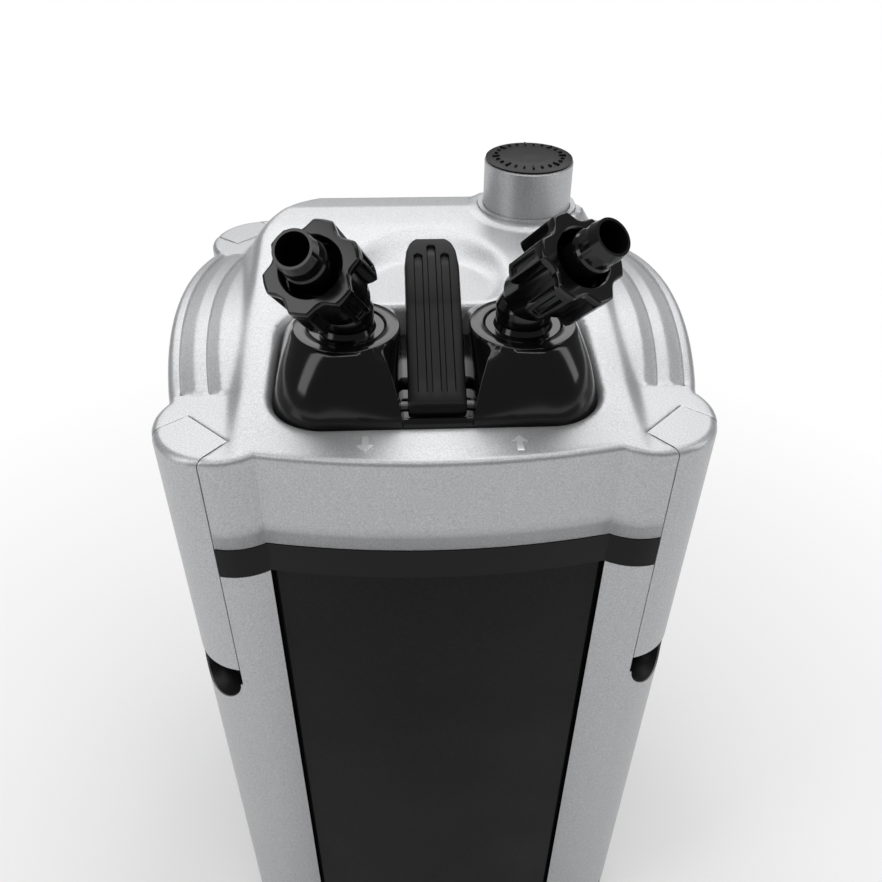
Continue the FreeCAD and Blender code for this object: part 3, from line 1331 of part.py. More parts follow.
def slots(made, lift, depth):
    """A row of long slots right through a floor."""
    drawn = sketch(made, lift=lift)
    first = -S.slot_pitch * (S.slot_count - 1) / 2
    half, width = S.slot_length / 2, S.slot_width / 2
    polygon(drawn, [(-half, first - width), (half, first - width), (half, first + width),
                    (-half, first + width)])
    cut = pocket(made, drawn, depth)
    pattern = made.newObject("PartDesign::LinearPattern", "slots")
    pattern.Originals = [cut]
    pattern.Direction = (drawn, ["V_Axis"])
    bind(pattern, "Length", S.slot_pitch * (S.slot_count - 1))
    bind(pattern, "Occurrences", S.slot_count)
    made.Tip = pattern


def basket(label, low):
    made = body(label)
    pad(made, polygon(sketch(made), basket_outline()), S.basket_height)
    inner = polygon(sketch(made, lift=S.basket_height), basket_outline(S.basket_wall))
    pocket(made, inner, S.basket_height - S.basket_wall)
    slots(made, S.basket_wall, S.basket_wall)
    return place(made, 0, 0, low)


STACK = [S.basket_start + (S.basket_height + S.basket_gap) * step for step in range(4)]
for name, low in zip(("lower", "middle", "upper"), STACK):
    basket("media_basket_" + name, low)


def filled(label, low, height):
    made = body(label)
    outline = basket_outline(S.basket_wall + S.media_gap)
    pad(made, polygon(sketch(made), outline), height)
    return place(made, 0, 0, low)


filled("coarse_foam", STACK[1] + S.basket_wall + 0.3, S.foam_height)
filled("fine_floss", STACK[2] + S.basket_wall + 0.3, S.floss_height)


def basket_lid():
    made = body("basket_lid")
    pad(made, polygon(sketch(made), basket_outline()), S.lid_thickness)
    slots(made, S.lid_thickness, S.lid_thickness)
    return place(made, 0, 0, STACK[3])


basket_lid()


def ceramic_rings():
    """One layer of upright rings on the lowest basket's floor."""
    pitch = float(S.ring_media_radius) * 2 + 1
    reach = float(S.basket_half - S.basket_wall) - float(S.ring_media_radius) - 1
    low = STACK[0] + S.basket_wall + 0.3
    high = low + S.ring_media_height
    made = []
    count = int(reach / pitch)
    for column in range(-count, count + 1):
        for line in range(-count, count + 1):
            x, y = column * pitch, line * pitch
            near_cut = abs(x) + abs(y) > 2 * float(S.basket_half) - float(S.basket_cut) - 16
            near_pipe = x - y > 2 * float(S.basket_half) - float(S.basket_pipe_cut) - 16
            if not (near_cut or near_pipe):
                ring = upright(S.ring_media_radius, low, high, x, y)
                made.append(ring.cut(upright(S.ring_media_bore, low - 1, high + 1, x, y)))
    return Part.makeCompound(made)


feature("ceramic_rings", ceramic_rings())

PIPE_IN = S.pipe_radius - S.pipe_wall
BELL_IN = S.bell_radius - S.pipe_wall
PIPE_TOP = DUCT_LOW - 0.3
PIPE_LOW = S.foot_height + S.vessel_floor + 3
turned("intake_pipe",
       [(PIPE_IN, 0), (S.pipe_radius, 0), (S.pipe_radius, PIPE_TOP - PIPE_LOW - 18),
        (S.bell_radius, PIPE_TOP - PIPE_LOW - 14), (S.bell_radius, PIPE_TOP - PIPE_LOW),
        (BELL_IN, PIPE_TOP - PIPE_LOW), (PIPE_IN, PIPE_TOP - PIPE_LOW - 15)],
       S.pipe_place, -S.pipe_place, PIPE_LOW)


# Every piece is checked before any is written


DOCUMENT.recompute()
USED = set()
for item in DOCUMENT.Objects:
    if item.TypeId in ("Part::Cut", "Part::MultiFuse", "Part::Compound"):
        USED.update(child.Name for child in item.OutList)
PIECES = [item for item in DOCUMENT.Objects
          if item.TypeId.startswith(("Part::", "PartDesign::Body")) and item.Name not in USED]
for item in DOCUMENT.Objects:
    if "Invalid" in item.State or "Error" in item.State:
        raise SystemExit("failed: %s (%s) %s" % (item.Label, item.TypeId, item.State))
for item in PIECES:
    if item.Shape.isNull() or not item.Shape.isValid() or not item.Shape.Solids:
        raise SystemExit("bad shape: " + item.Label)
os.makedirs("parts", exist_ok=True)
for item in PIECES:
    item.Shape.exportStep("parts/%s.step" % item.Label)
    print("%-28s %2d solid(s) %10.0f mm3" % (item.Label, len(item.Shape.Solids), item.Shape.Volume))
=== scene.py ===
import math

import bmesh
import bpy
from mathutils import Matrix, Vector, noise as cell
from mathutils.geometry import delaunay_2d_cdt
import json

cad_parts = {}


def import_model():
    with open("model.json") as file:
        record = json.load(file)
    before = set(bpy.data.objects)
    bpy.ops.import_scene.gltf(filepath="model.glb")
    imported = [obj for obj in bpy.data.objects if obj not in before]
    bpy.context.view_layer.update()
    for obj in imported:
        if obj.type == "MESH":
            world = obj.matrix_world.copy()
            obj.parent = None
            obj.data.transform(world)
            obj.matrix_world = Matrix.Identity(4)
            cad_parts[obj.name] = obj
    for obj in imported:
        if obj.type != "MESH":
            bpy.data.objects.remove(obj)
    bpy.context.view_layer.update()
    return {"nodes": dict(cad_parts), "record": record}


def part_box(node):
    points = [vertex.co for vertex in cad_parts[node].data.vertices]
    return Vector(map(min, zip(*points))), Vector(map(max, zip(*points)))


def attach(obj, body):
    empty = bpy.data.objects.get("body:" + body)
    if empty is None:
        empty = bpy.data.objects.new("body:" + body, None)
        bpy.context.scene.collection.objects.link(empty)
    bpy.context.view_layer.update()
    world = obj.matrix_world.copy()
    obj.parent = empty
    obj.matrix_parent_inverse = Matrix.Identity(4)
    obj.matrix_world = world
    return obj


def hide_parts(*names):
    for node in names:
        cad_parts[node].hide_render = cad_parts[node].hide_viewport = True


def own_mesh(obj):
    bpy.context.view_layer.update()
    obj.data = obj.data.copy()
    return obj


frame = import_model()
NODES = frame["nodes"]

DIAGONAL = math.sqrt(0.5)
# Places that the pieces share, in metres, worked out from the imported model
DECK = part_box("latch_lever_front_right")[1][2]
CORNERS = ("front_right", "rear_right", "rear_left", "front_left")


# Materials: each has its own colour, gloss and fine relief


def shader(name, colour, rough, metal=0.0, specular=0.5, coat=0.0):
    """A new material with its main shader's constants set."""
    made = bpy.data.materials.new(name)
    made.use_nodes = True
    main = made.node_tree.nodes["Principled BSDF"]
    main.inputs["Base Color"].default_value = (*colour, 1)
    main.inputs["Roughness"].default_value = rough
    main.inputs["Metallic"].default_value = metal
    main.inputs["Specular IOR Level"].default_value = specular
    main.inputs["Coat Weight"].default_value = coat
    main.inputs["Coat Roughness"].default_value = 0.12
    made.diffuse_color = (*colour, 1)
    return made


def add(made, kind, **values):
    """A node of that kind, with its named inputs set."""
    node = made.node_tree.nodes.new(kind)
    for name, value in values.items():
        node.inputs[name.replace("_", " ")].default_value = value
    return node


def link(made, start, output, end, entry):
    """Join an output to an input."""
    made.node_tree.links.new(start.outputs[output], end.inputs[entry])


def noise(made, scale, detail):
    """Noise that stays with the object."""
    place = add(made, "ShaderNodeTexCoord")
    grain = add(made, "ShaderNodeTexNoise", Scale=scale, Detail=detail)
    link(made, place, "Object", grain, "Vector")
    return grain


def vary_colour(made, grain, low, high):
    """The colour moves between two tones with the grain."""
    main = made.node_tree.nodes["Principled BSDF"]
    tones = add(made, "ShaderNodeValToRGB")
    for stop, place, tone in zip(tones.color_ramp.elements, (0.35, 0.65), (low, high)):
        stop.position, stop.color = place, (*tone, 1)
    link(made, grain, "Fac", tones, "Fac")
    link(made, tones, "Color", main, "Base Color")


def vary_gloss(made, grain, low, high):
    """The roughness moves between two values with the grain."""
    main = made.node_tree.nodes["Principled BSDF"]
    span = add(made, "ShaderNodeMapRange", To_Min=low, To_Max=high)
    link(made, grain, "Fac", span, "Value")
    link(made, span, "Result", main, "Roughness")


def relief(made, layers):
    """Bumps from (grain, strength, depth in metres), stacked in that order."""
    main = made.node_tree.nodes["Principled BSDF"]
    before = None
    for grain, strength, depth in layers:
        bump = add(made, "ShaderNodeBump", Strength=strength, Distance=depth)
        link(made, grain, "Fac", bump, "Height")
        if before:
            link(made, before, "Normal", bump, "Normal")
        before = bump
    link(made, before, "Normal", main, "Normal")


def tinted(colour, factor):
    """The colour, lighter or darker by a factor."""
    return tuple(min(1.0, part * factor) for part in colour)


def moulded(name, colour, rough, grain_scale=900, spread=0.06, depth=0.00006, mottle=0.04, **look):
    """Moulded or painted plastic: fine grain, slow mottling and uneven gloss."""
    made = shader(name, colour, rough, **look)
    fine, slow = noise(made, grain_scale, 4.0), noise(made, 22.0, 2.0)
    vary_colour(made, fine, tinted(colour, 1 - spread), tinted(colour, 1 + spread))
    vary_gloss(made, slow, rough * (1 - mottle * 2), rough * (1 + mottle * 2))
    relief(made, [(slow, 0.05, 0.0004), (fine, 0.25, depth)])
    return made


SILVER = moulded("silver_paint", (0.50, 0.505, 0.515), 0.40, metal=0.62, grain_scale=1600, spread=0.14,
                 depth=0.00004)
GLOSS_BLACK = moulded("gloss_black", (0.0035, 0.0035, 0.0038), 0.13, specular=0.40, grain_scale=500,
                      depth=0.000008, mottle=0.03)
SATIN_BLACK = moulded("satin_black", (0.006, 0.006, 0.0064), 0.36, specular=0.15, grain_scale=1100,
                      depth=0.00003)
RUBBER = moulded("black_rubber", (0.02, 0.02, 0.02), 0.75, specular=0.3, grain_scale=600, depth=0.0001)
STEEL = moulded("steel", (0.58, 0.58, 0.6), 0.28, metal=1.0, grain_scale=1200)
POLISHED = moulded("polished_mark", (0.78, 0.78, 0.79), 0.25, metal=0.5, grain_scale=1500)

SLOTS = {
    "silver_shell": SILVER, "black_gloss": GLOSS_BLACK, "black_satin": SATIN_BLACK,
    "magnet_black": SATIN_BLACK, "rubber_black": RUBBER, "seal_rubber": RUBBER, "spring_steel": STEEL,
    "screw_steel": STEEL,
    "black_grain": moulded("grained_black", (0.006, 0.006, 0.0064), 0.50, specular=0.12, grain_scale=700,
                           spread=0.25, depth=0.00010, mottle=0.08),
    "grey_plastic": moulded("grey_plastic", (0.30, 0.31, 0.32), 0.5),
    "white_plastic": moulded("white_plastic", (0.75, 0.76, 0.75), 0.42),
    "pin_steel": moulded("blackened_steel", (0.10, 0.10, 0.105), 0.35, metal=0.9, grain_scale=1200),
    "iron_core": moulded("laminated_iron", (0.22, 0.23, 0.25), 0.5, metal=0.8, grain_scale=400,
                         depth=0.0001),
    "copper_wire": moulded("copper_wire", (0.72, 0.30, 0.12), 0.3, metal=0.9, coat=0.5, grain_scale=800),
    "ceramic_shaft": moulded("polished_ceramic", (0.88, 0.88, 0.84), 0.15),
    "ceramic_media": moulded("porous_ceramic", (0.80, 0.74, 0.63), 0.85, specular=0.2, grain_scale=350,
                             spread=0.18, depth=0.0004),
    "foam_blue": moulded("blue_foam", (0.06, 0.17, 0.34), 0.95, specular=0.1, grain_scale=420, spread=0.5,
                         depth=0.0012),
    "floss_white": moulded("white_wool", (0.82, 0.83, 0.82), 0.95, specular=0.1, grain_scale=260,
                           spread=0.10, depth=0.0015),
}

for part in frame["record"]["subparts"]:
    node = NODES[part["node"]]
    node.data.materials.clear()
    node.data.materials.append(SLOTS[part["material_slot"]])


# Mesh helpers


def new_object(name, data):
    """An object with that data, in the scene."""
    made = bpy.data.objects.new(name, data)
    bpy.context.collection.objects.link(made)
    return made


def object_from(made, name, material, sharp):
    """An object of its own from a bmesh, smooth but for edges sharper than that many degrees."""
    mesh = bpy.data.meshes.new(name)
    made.to_mesh(mesh)
    made.free()
    piece = new_object(name, mesh)
    mesh.materials.append(material)
    mesh.shade_smooth()
    mesh.set_sharp_from_angle(angle=math.radians(sharp))
    return piece


def join_rings(made, rings, closed=False):
    """Faces between rings of as many vertices each."""
    pairs = list(zip(rings, rings[1:])) + ([(rings[-1], rings[0])] if closed else [])
    for a, b in pairs:
        for step in range(len(a)):
            after = (step + 1) % len(a)
            made.faces.new((a[step], a[after], b[after], b[step]))


def face_towards(made, rank, way):
    """Turn an open skin's faces so that the one with the highest rank faces that way."""
    bmesh.ops.recalc_face_normals(made, faces=made.faces)
    if max(made.faces, key=rank).normal.dot(way) < 0:
        bmesh.ops.reverse_faces(made, faces=made.faces)


def soften(piece, width, segments, angle):
    """Round off a piece's edges where they turn by more than that many degrees."""
    soft = piece.modifiers.new("soft_edges", "BEVEL")
    soft.width, soft.segments, soft.limit_method = width, segments, "ANGLE"
    soft.angle_limit = math.radians(angle)


def thicken(piece, thickness):
    """Give a skin its wall, behind the face that shows."""
    wall = piece.modifiers.new("wall", "SOLIDIFY")
    wall.thickness, wall.offset = thickness, -1
    return wall


# The head's plan, in metres at deck level: bowed sides, and a bulge round each corner latch

BOW, CREASE, CREASE_HALF = 0.110, 0.103, 0.067
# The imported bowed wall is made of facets, this share inside the true curve, that far out
FACET_PLAY, FACET_ZONE = 0.001, (0.098, 0.106)
PILLAR_MID, SEAM, CORNER_REACH = (0.077, -0.1067), (0.0865, -0.106), 0.0993
DRAFT = math.tan(math.radians(1.5)) / BOW
SLOT_HALF, SLOT_TOP, SLOT_FLOOR, SLOT_LEDGE = 0.0121, 0.12053, 0.1265, 0.0087
SKIRT_LOW = DECK - 0.0424
COVER_WALL, EDGE_ROUND, SLOT_ROUND, COLLAR_ROUND = 0.0026, 0.0026, 0.0004, 0.0007
RECESS_FLOOR, COLLAR_LOW, WELD = DECK - 0.0146, DECK + 0.006, 0.000004
# Beside a latch slot the wall thins to this share of itself, over this reach
THINNEST, THIN_REACH = 0.12, 0.008
BOW_RADIUS = (CREASE_HALF ** 2 + (BOW - CREASE) ** 2) / (2 * (BOW - CREASE))
# The valve block's plan and its two ports, and the knob's place
BLOCK_HALF, BLOCK_FRONT, BLOCK_BACK, BLOCK_CORNER = 0.0635, -0.087, -0.008, 0.021
RING_PLACE, RING_BACK, RING_RADIUS, RING_RISE, PORT_HOLE = 0.0338, -0.056, 0.0204, 0.026, 0.0122
KNOB = Vector([sum(ends) / 2 for ends in zip(*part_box("knob_sleeve"))][:2])
COLLAR_RADIUS = (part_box("priming_collar")[1][0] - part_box("priming_collar")[0][0]) / 2
COLLAR_PLAY = 0.0001


def arc(a, b, c, count):
    """Points from a through b to c along a circle, without the last."""
    ax, ay, bx, by, cx, cy = *a, *b, *c
    d = 2 * (ax * (by - cy) + bx * (cy - ay) + cx * (ay - by))
    sa, sb, sc = ax * ax + ay * ay, bx * bx + by * by, cx * cx + cy * cy
    ux = (sa * (by - cy) + sb * (cy - ay) + sc * (ay - by)) / d
    uy = (sa * (cx - bx) + sb * (ax - cx) + sc * (bx - ax)) / d
    start = math.atan2(ay - uy, ax - ux)
    sweep = (math.atan2(cy - uy, cx - ux) - start) % (2 * math.pi)
    middle = (math.atan2(by - uy, bx - ux) - start) % (2 * math.pi)
    if middle > sweep:
        sweep -= 2 * math.pi
    radius = math.hypot(ax - ux, ay - uy)
    return [(ux + radius * math.cos(start + sweep * step / count),
             uy + radius * math.sin(start + sweep * step / count)) for step in range(count)]


def on_circle(x, y, radius, degrees):
    """The point at an angle on a circle round x, y."""
    return (x + radius * math.cos(math.radians(degrees)), y + radius * math.sin(math.radians(degrees)))


def line(a, b, count):
    """Points from a to b on a straight line, without the last."""
    return [(a[0] + (b[0] - a[0]) * step / count, a[1] + (b[1] - a[1]) * step / count)
            for step in range(count)]


def corner_point(out, along):
    """A plan point given out of the front right corner and along its face."""
    return ((out + along) * DIAGONAL, (along - out) * DIAGONAL)


def corner_place(x, y):
    """How far out of its corner, and how far along the corner's face, a plan point lies."""
    return (abs(x) + abs(y)) * DIAGONAL, (abs(x) - abs(y)) * DIAGONAL


def slot_half(out):
    """Half a latch slot's width at a distance out of the corner: it flares to meet the seam."""
    seam_out = (SEAM[0] - SEAM[1]) * DIAGONAL
    seam_along = -(SEAM[0] + SEAM[1]) * DIAGONAL
    return SLOT_HALF + (seam_along - SLOT_HALF) * (out - SLOT_TOP) / (seam_out - SLOT_TOP)


def turned_points(points, corner):
    """Plan points carried round to another corner, by quarter turns."""
    for _ in range(corner):
        points = [(-y, x) for x, y in points]
    return points


def narrowing(z):
    """The walls lean in evenly below the deck."""
    return 1 - (DECK - z) * DRAFT


# The head's top as one height over its plan


# The arched shoulders beside the plateau; their grooves are (lip, deepest, end) in from the side
SHOULDER_HALF, SHOULDER_END, SHOULDER_ARCH, SHOULDER_STEP = 0.062, 0.0626, 0.0068, 0.0008
GROOVES, GROOVE_DEPTH, GROOVE_END = ((0.0048, 0.0051, 0.0109), (0.0156, 0.0159, 0.0210)), 0.0015, 0.0622
# The plateau widens towards the back and has round back corners; its side falls off as (inset, height)
PLATEAU_FRONT, PLATEAU_HALF, PLATEAU_GROWTH, PLATEAU_RUN = -0.101, 0.0715, 0.0125, 0.149
PLATEAU_BACK, PLATEAU_CORNER, CORNER_SQUASH = 0.048, 0.046, 0.79
PLATEAU_SIDE = ((-0.012, -0.0110), (-0.004, 0.0010), (0.002, 0.0115), (0.008, 0.0210))
# The finger scoop behind the lever, the boss round the knob, the pads round the latches
SCOOP_BACK, SCOOP_FLOOR, SCOOP_RISE, SCOOP_BENDS = 0.009, 0.0082, 0.0095, (0.027, 0.050)
SCOOP_EDGE, SCOOP_STEEP = 0.047, 0.8
BOSS_TOP, BOSS_FLAT, BOSS_STEEP = 0.0174, 0.0035, 1.6
PAD_RISE, PAD_HALF, PAD_STEEP = 0.0005, 0.0147, 2
# The shelf round the recess, which climbs towards the back
SHELF_RISE, SHELF_SLOPE = 0.0022, 0.103
# Over how much height each form runs into the rest
ROOF_BLEND, SHOULDER_BLEND, SCOOP_BLEND, BOSS_BLEND, SHELF_BLEND = 0.0060, 0.0035, 0.0015, 0.004, 0.0018


def smooth_min(a, b, soft):
    """The lower of two heights, blended over soft."""
    share = max(0.0, min(1.0, 0.5 + 0.5 * (b - a) / soft))
    return b + (a - b) * share - soft * share * (1 - share)


def smooth_max(a, b, soft):
    """The higher of two heights, blended over soft."""
    return -smooth_min(-a, -b, soft)


def ramp(value, low, high):
    """0 below low, 1 above high, and smooth between."""
    share = max(0.0, min(1.0, (value - low) / (high - low)))
    return share * share * (3 - 2 * share)


def straight(value, points):
    """Straight lines through (value, height) points."""
    for (a, ha), (b, hb) in zip(points, points[1:]):
        if value <= b:
            return ha + (hb - ha) * max(0.0, (value - a) / (b - a))
    return points[-1][1]


def block_distance(x, y):
    """Distance outside the recess's plan, a rectangle with round corners; negative inside."""
    dx = abs(x) - BLOCK_HALF + BLOCK_CORNER
    dy = abs(y - (BLOCK_FRONT + BLOCK_BACK) / 2) - (BLOCK_BACK - BLOCK_FRONT) / 2 + BLOCK_CORNER
    return math.hypot(max(dx, 0), max(dy, 0)) + min(max(dx, dy), 0) - BLOCK_CORNER


def collar_distance(x, y):
    """Distance outside the knob's collar; negative inside."""
    return math.hypot(x - KNOB.x, y - KNOB.y) - COLLAR_RADIUS


# The roof's height along y, and the recess's edge as (distance out, height)
ROOF = ((-0.115, -0.0035), (-0.101, -0.001), (-0.0205, 0.0077), (0.060, 0.0174), (0.078, 0.0190),
        (0.093, 0.0172), (0.101, 0.0125), (0.1075, 0.0045))
RIM = ((0.0, -0.0052), (0.0006, -0.0036), (0.0024, -0.0014), (0.0052, 0.0002), (0.0100, 0.0020),
       (0.030, 0.016))


def side_reach(y):
    """How far out the bowed side stands."""
    return BOW - BOW_RADIUS + math.sqrt(BOW_RADIUS ** 2 - min(abs(y), CREASE_HALF) ** 2)


def shoulder(x, y):
    """The arched shoulders beside the plateau, with two wedge grooves along each."""
    arch = max(0.0, 1 - (y / SHOULDER_HALF) ** 2)
    inset = side_reach(y) - abs(x)
    height = SHOULDER_ARCH * arch * ramp(SHOULDER_END - abs(y), 0, 0.0012)
    height += SHOULDER_STEP * ramp(SHOULDER_END - abs(y), 0, 0.0008)
    for lip, deepest, end in GROOVES:
        if lip < inset < end and abs(y) < GROOVE_END:
            share = (end - inset) / (end - deepest) if inset > deepest else (inset - lip) / (deepest - lip)
            height -= GROOVE_DEPTH * share
    return height


def top_height(x, y):
    """Height of the cover's top over the deck at a plan point."""
    half = PLATEAU_HALF + PLATEAU_GROWTH * max(0.0, min(1.0, (y - PLATEAU_FRONT) / PLATEAU_RUN))
    back = y - PLATEAU_BACK
    inside = half - abs(x)
    if back > 0 and abs(x) > half - PLATEAU_CORNER:
        inside = PLATEAU_CORNER - math.hypot(abs(x) - half + PLATEAU_CORNER, back * CORNER_SQUASH)
    roof = smooth_min(straight(y, ROOF), straight(inside, PLATEAU_SIDE), ROOF_BLEND)
    height = smooth_max(shoulder(x, y), roof, SHOULDER_BLEND)
    reach = math.hypot(x, y - SCOOP_BACK)
    dish = SCOOP_FLOOR + SCOOP_RISE * ramp(reach, *SCOOP_BENDS) + max(0.0, reach - SCOOP_EDGE) * SCOOP_STEEP
    height = smooth_min(height, dish, SCOOP_BLEND)
    away = max(0.0, collar_distance(x, y) - BOSS_FLAT)
    height = smooth_max(height, BOSS_TOP - away * BOSS_STEEP, BOSS_BLEND)
    out, along = corner_place(x, y)
    height = min(height, PAD_RISE + max(0.0, SLOT_TOP - out, abs(along) - PAD_HALF) * PAD_STEEP)
    rim = block_distance(x, y)
    if rim < RIM[-1][0]:
        ground = SHELF_RISE + (y - BLOCK_FRONT) * SHELF_SLOPE
        height = smooth_min(height, ground + straight(rim, RIM), SHELF_BLEND)
    return height


def skirt_line():
    """The front skirt from the front left bulge to the front right one, in plan."""
    bulge = arc((CREASE_HALF, -CREASE), PILLAR_MID, SEAM, 14)
    bulge += arc(SEAM, (0.0950, -0.1030), (CORNER_REACH, -CORNER_REACH), 8)
    bow = arc((-CREASE_HALF, -CREASE), (0, -BOW), (CREASE_HALF, -CREASE), 84)
    return [(-x, y) for x, y in reversed(bulge)] + bow + bulge


def inset_line(points, distance):
    """An open line's points moved to its left."""
    moved = []
    for step, (x, y) in enumerate(points):
        ax, ay = points[max(0, step - 1)]
        bx, by = points[min(len(points) - 1, step + 1)]
        size = math.hypot(bx - ax, by - ay)
        moved.append((x - (by - ay) / size * distance, y + (bx - ax) / size * distance))
    return moved


def slot_line(grow):
    """The front right slot's edge, moved into the cover by grow."""
    floor, mouth = SLOT_TOP - grow, 0.140
    half = slot_half(floor) + grow
    wide = slot_half(mouth) + grow
    a, b = corner_point(mouth, -wide), corner_point(floor, -half)
    c, d = corner_point(floor, half), corner_point(mouth, wide)
    return line(a, b, 12) + line(b, c, 14) + line(c, d, 12) + [d]


def block_line(grow):
    """The recess's plan, grown all round, as an open line that closes on itself."""
    half, low, high = BLOCK_HALF + grow, BLOCK_FRONT - grow, BLOCK_BACK + grow
    radius = BLOCK_CORNER + grow
    points = []
    for turn, (sx, y) in enumerate(((1, high), (-1, high), (-1, low), (1, low))):
        cx, cy = sx * (half - radius), y - math.copysign(radius, y - (low + high) / 2)
        points += [on_circle(cx, cy, radius, 90 * (turn + step / 18)) for step in range(19)]
    loop = []
    for a, b in zip(points, points[1:] + points[:1]):
        loop += line(a, b, max(1, round(math.hypot(b[0] - a[0], b[1] - a[1]) / 0.0018)))
    return loop + loop[:1]


def knob_line(radius):
    """A closed circle round the knob."""
    return [on_circle(*KNOB, radius, 6 * step) for step in range(61)]


def slot_depth(x, y):
    """How far a plan point lies inside its corner's slot; negative outside it."""
    out, along = corner_place(x, y)
    return min(out - SLOT_TOP, slot_half(out) - abs(along))


SKIRT = skirt_line()
SKIRT_RIGHT = [pair for pair in zip(SKIRT, SKIRT[1:]) if pair[1][0] > -0.002]


def skirt_inset(x, y):
    """Distance in from the full outline; negative outside it, and only exact near it."""
    px, py = (abs(x), -abs(y)) if abs(y) >= abs(x) else (abs(y), -abs(x))
    if py > -0.094:
        return 1.0
    best, side = 1.0, 1
    for (ax, ay), (bx, by) in SKIRT_RIGHT:
        dx, dy = bx - ax, by - ay
        share = max(0.0, min(1.0, ((px - ax) * dx + (py - ay) * dy) / (dx * dx + dy * dy)))
        away = math.hypot(px - ax - dx * share, py - ay - dy * share)
        if away < best:
            best, side = away, 1 if dx * (py - ay) - dy * (px - ax) > 0 else -1
    return best * side


def rounded_drop(inset, radius):
    """How far a round edge has fallen at a distance in from it."""
    if inset >= radius:
        return 0.0
    return radius - math.sqrt(max(0.0, radius ** 2 - (radius - inset) ** 2))


def middle_of(face, flat):
    """A flat triangle's middle, from the corners' numbers and the flat points."""
    return sum(flat[i].x for i in face) / 3, sum(flat[i].y for i in face) / 3


def cover_skin():
    """The top as triangles: (points with heights, triangles)."""
    points, edges = [], []

    def add_line(line_points):
        first = len(points)
        points.extend(Vector(point) for point in line_points)
        edges.extend((first + step, first + step + 1) for step in range(len(line_points) - 1))

    for corner in range(4):
        for angle in (0, 18, 36, 54, 72, 90):
            add_line(turned_points(inset_line(SKIRT, EDGE_ROUND * (1 - math.cos(math.radians(angle)))),
                                   corner))
        for grow in (0, 0.00012, SLOT_ROUND):
            add_line(turned_points(slot_line(grow), corner))
    for grow in (0, 0.0002, 0.0007, 0.0016, 0.0030):
        add_line(block_line(grow))
    for grow in (0, 0.0002, COLLAR_ROUND):
        add_line(knob_line(COLLAR_RADIUS + COLLAR_PLAY + grow))
    for side in (-1, 1):
        for inset in GROOVES[0] + GROOVES[1]:
            add_line([(side * (side_reach(y) - inset), y) for y in
                      (0.0621 * step / 40 for step in range(-40, 41))])
    pitch, row_height, clear = 0.0017, 0.866, 0.0006
    for row in range(-76, 77):
        y = row * pitch * row_height
        for step in range(-66, 67):
            x = (step + 0.5 * (row % 2)) * pitch
            if slot_depth(x, y) < -clear and skirt_inset(x, y) > EDGE_ROUND + clear:
                points.append(Vector((x, y)))
    flat, _, faces, *_ = delaunay_2d_cdt(points, edges, [], 0, 1e-6)
    kept = []
    for face in faces:
        x, y = middle_of(face, flat)
        in_hole = slot_depth(x, y) > 0 or collar_distance(x, y) < COLLAR_PLAY or block_distance(x, y) < 0
        if not in_hole and skirt_inset(x, y) >= 0:
            kept.append(face)
    return [(point.x, point.y) for point in flat], kept


def top_point(x, y):
    """A plan point lifted onto the finished top, with its edges rounded off."""
    height = DECK + top_height(x, y) - rounded_drop(max(0.0, skirt_inset(x, y)), EDGE_ROUND)
    height -= rounded_drop(max(0.0, -slot_depth(x, y)), SLOT_ROUND)
    height -= rounded_drop(max(0.0, collar_distance(x, y)), COLLAR_ROUND)
    return (x, y, height)


def under_slot(x, y):
    """Where a point on a slot's edge goes below the ledge that the latch's barrel turns over."""
    if slot_depth(x, y) < -0.0002:
        return x, y
    out, along = corner_place(x, y)
    if out > SLOT_FLOOR:
        return x, y
    half = slot_half(SLOT_FLOOR)
    along = along * half / slot_half(out)
    px, py = (SLOT_FLOOR + along) * DIAGONAL, (SLOT_FLOOR - along) * DIAGONAL
    return math.copysign(px, x), math.copysign(py, y)


def edge_kind(x, y):
    """Which edge of the top a plan point on its border belongs to."""
    near = 0.0008
    if collar_distance(x, y) < near:
        return "knob"
    if block_distance(x, y) < near:
        return "recess"
    return "skirt"


def wall_stops(x, y):
    """The points straight under a point of the top's edge, from the top down."""
    kind = edge_kind(x, y)
    if kind == "knob":
        return [(x, y, COLLAR_LOW)]
    if kind == "recess":
        return [(x, y, RECESS_FLOOR)]
    ledge = DECK - SLOT_LEDGE
    stops = [(x * narrowing(ledge), y * narrowing(ledge), ledge)]
    x, y = under_slot(x, y)
    for z in (ledge, DECK - 0.020, DECK - 0.031, SKIRT_LOW):
        stops.append((x * narrowing(z), y * narrowing(z), z))
    return stops


def recess_floor(made, rim):
    """The recess's floor inside its rim of vertices, with a hole for each port."""
    points = [Vector(vert.co.xy) for vert in rim]
    edges = [(step, (step + 1) % len(rim)) for step in range(len(rim))]
    count = 48
    for side in (-1, 1):
        first = len(points)
        points += [Vector(on_circle(side * RING_PLACE, RING_BACK, PORT_HOLE, 360 / count * step))
                   for step in range(count)]
        edges += [(first + step, first + (step + 1) % count) for step in range(count)]
    flat, _, faces, *_ = delaunay_2d_cdt(points, edges, [], 1, 1e-6)
    corners = list(rim) + [made.verts.new((point.x, point.y, RECESS_FLOOR)) for point in flat[len(rim):]]
    for face in faces:
        x, y = middle_of(face, flat)
        if math.hypot(abs(x) - RING_PLACE, y - RING_BACK) > PORT_HOLE:
            made.faces.new([corners[i] for i in face])


def ring_order(links):
    """A closed ring's vertices in order, from its links."""
    start = next(iter(links))
    ring, before = [start], None
    while True:
        following = [vert for vert in links[ring[-1]] if vert is not before]
        before = ring[-1]
        if following[0] is start:
            return ring
        ring.append(following[0])


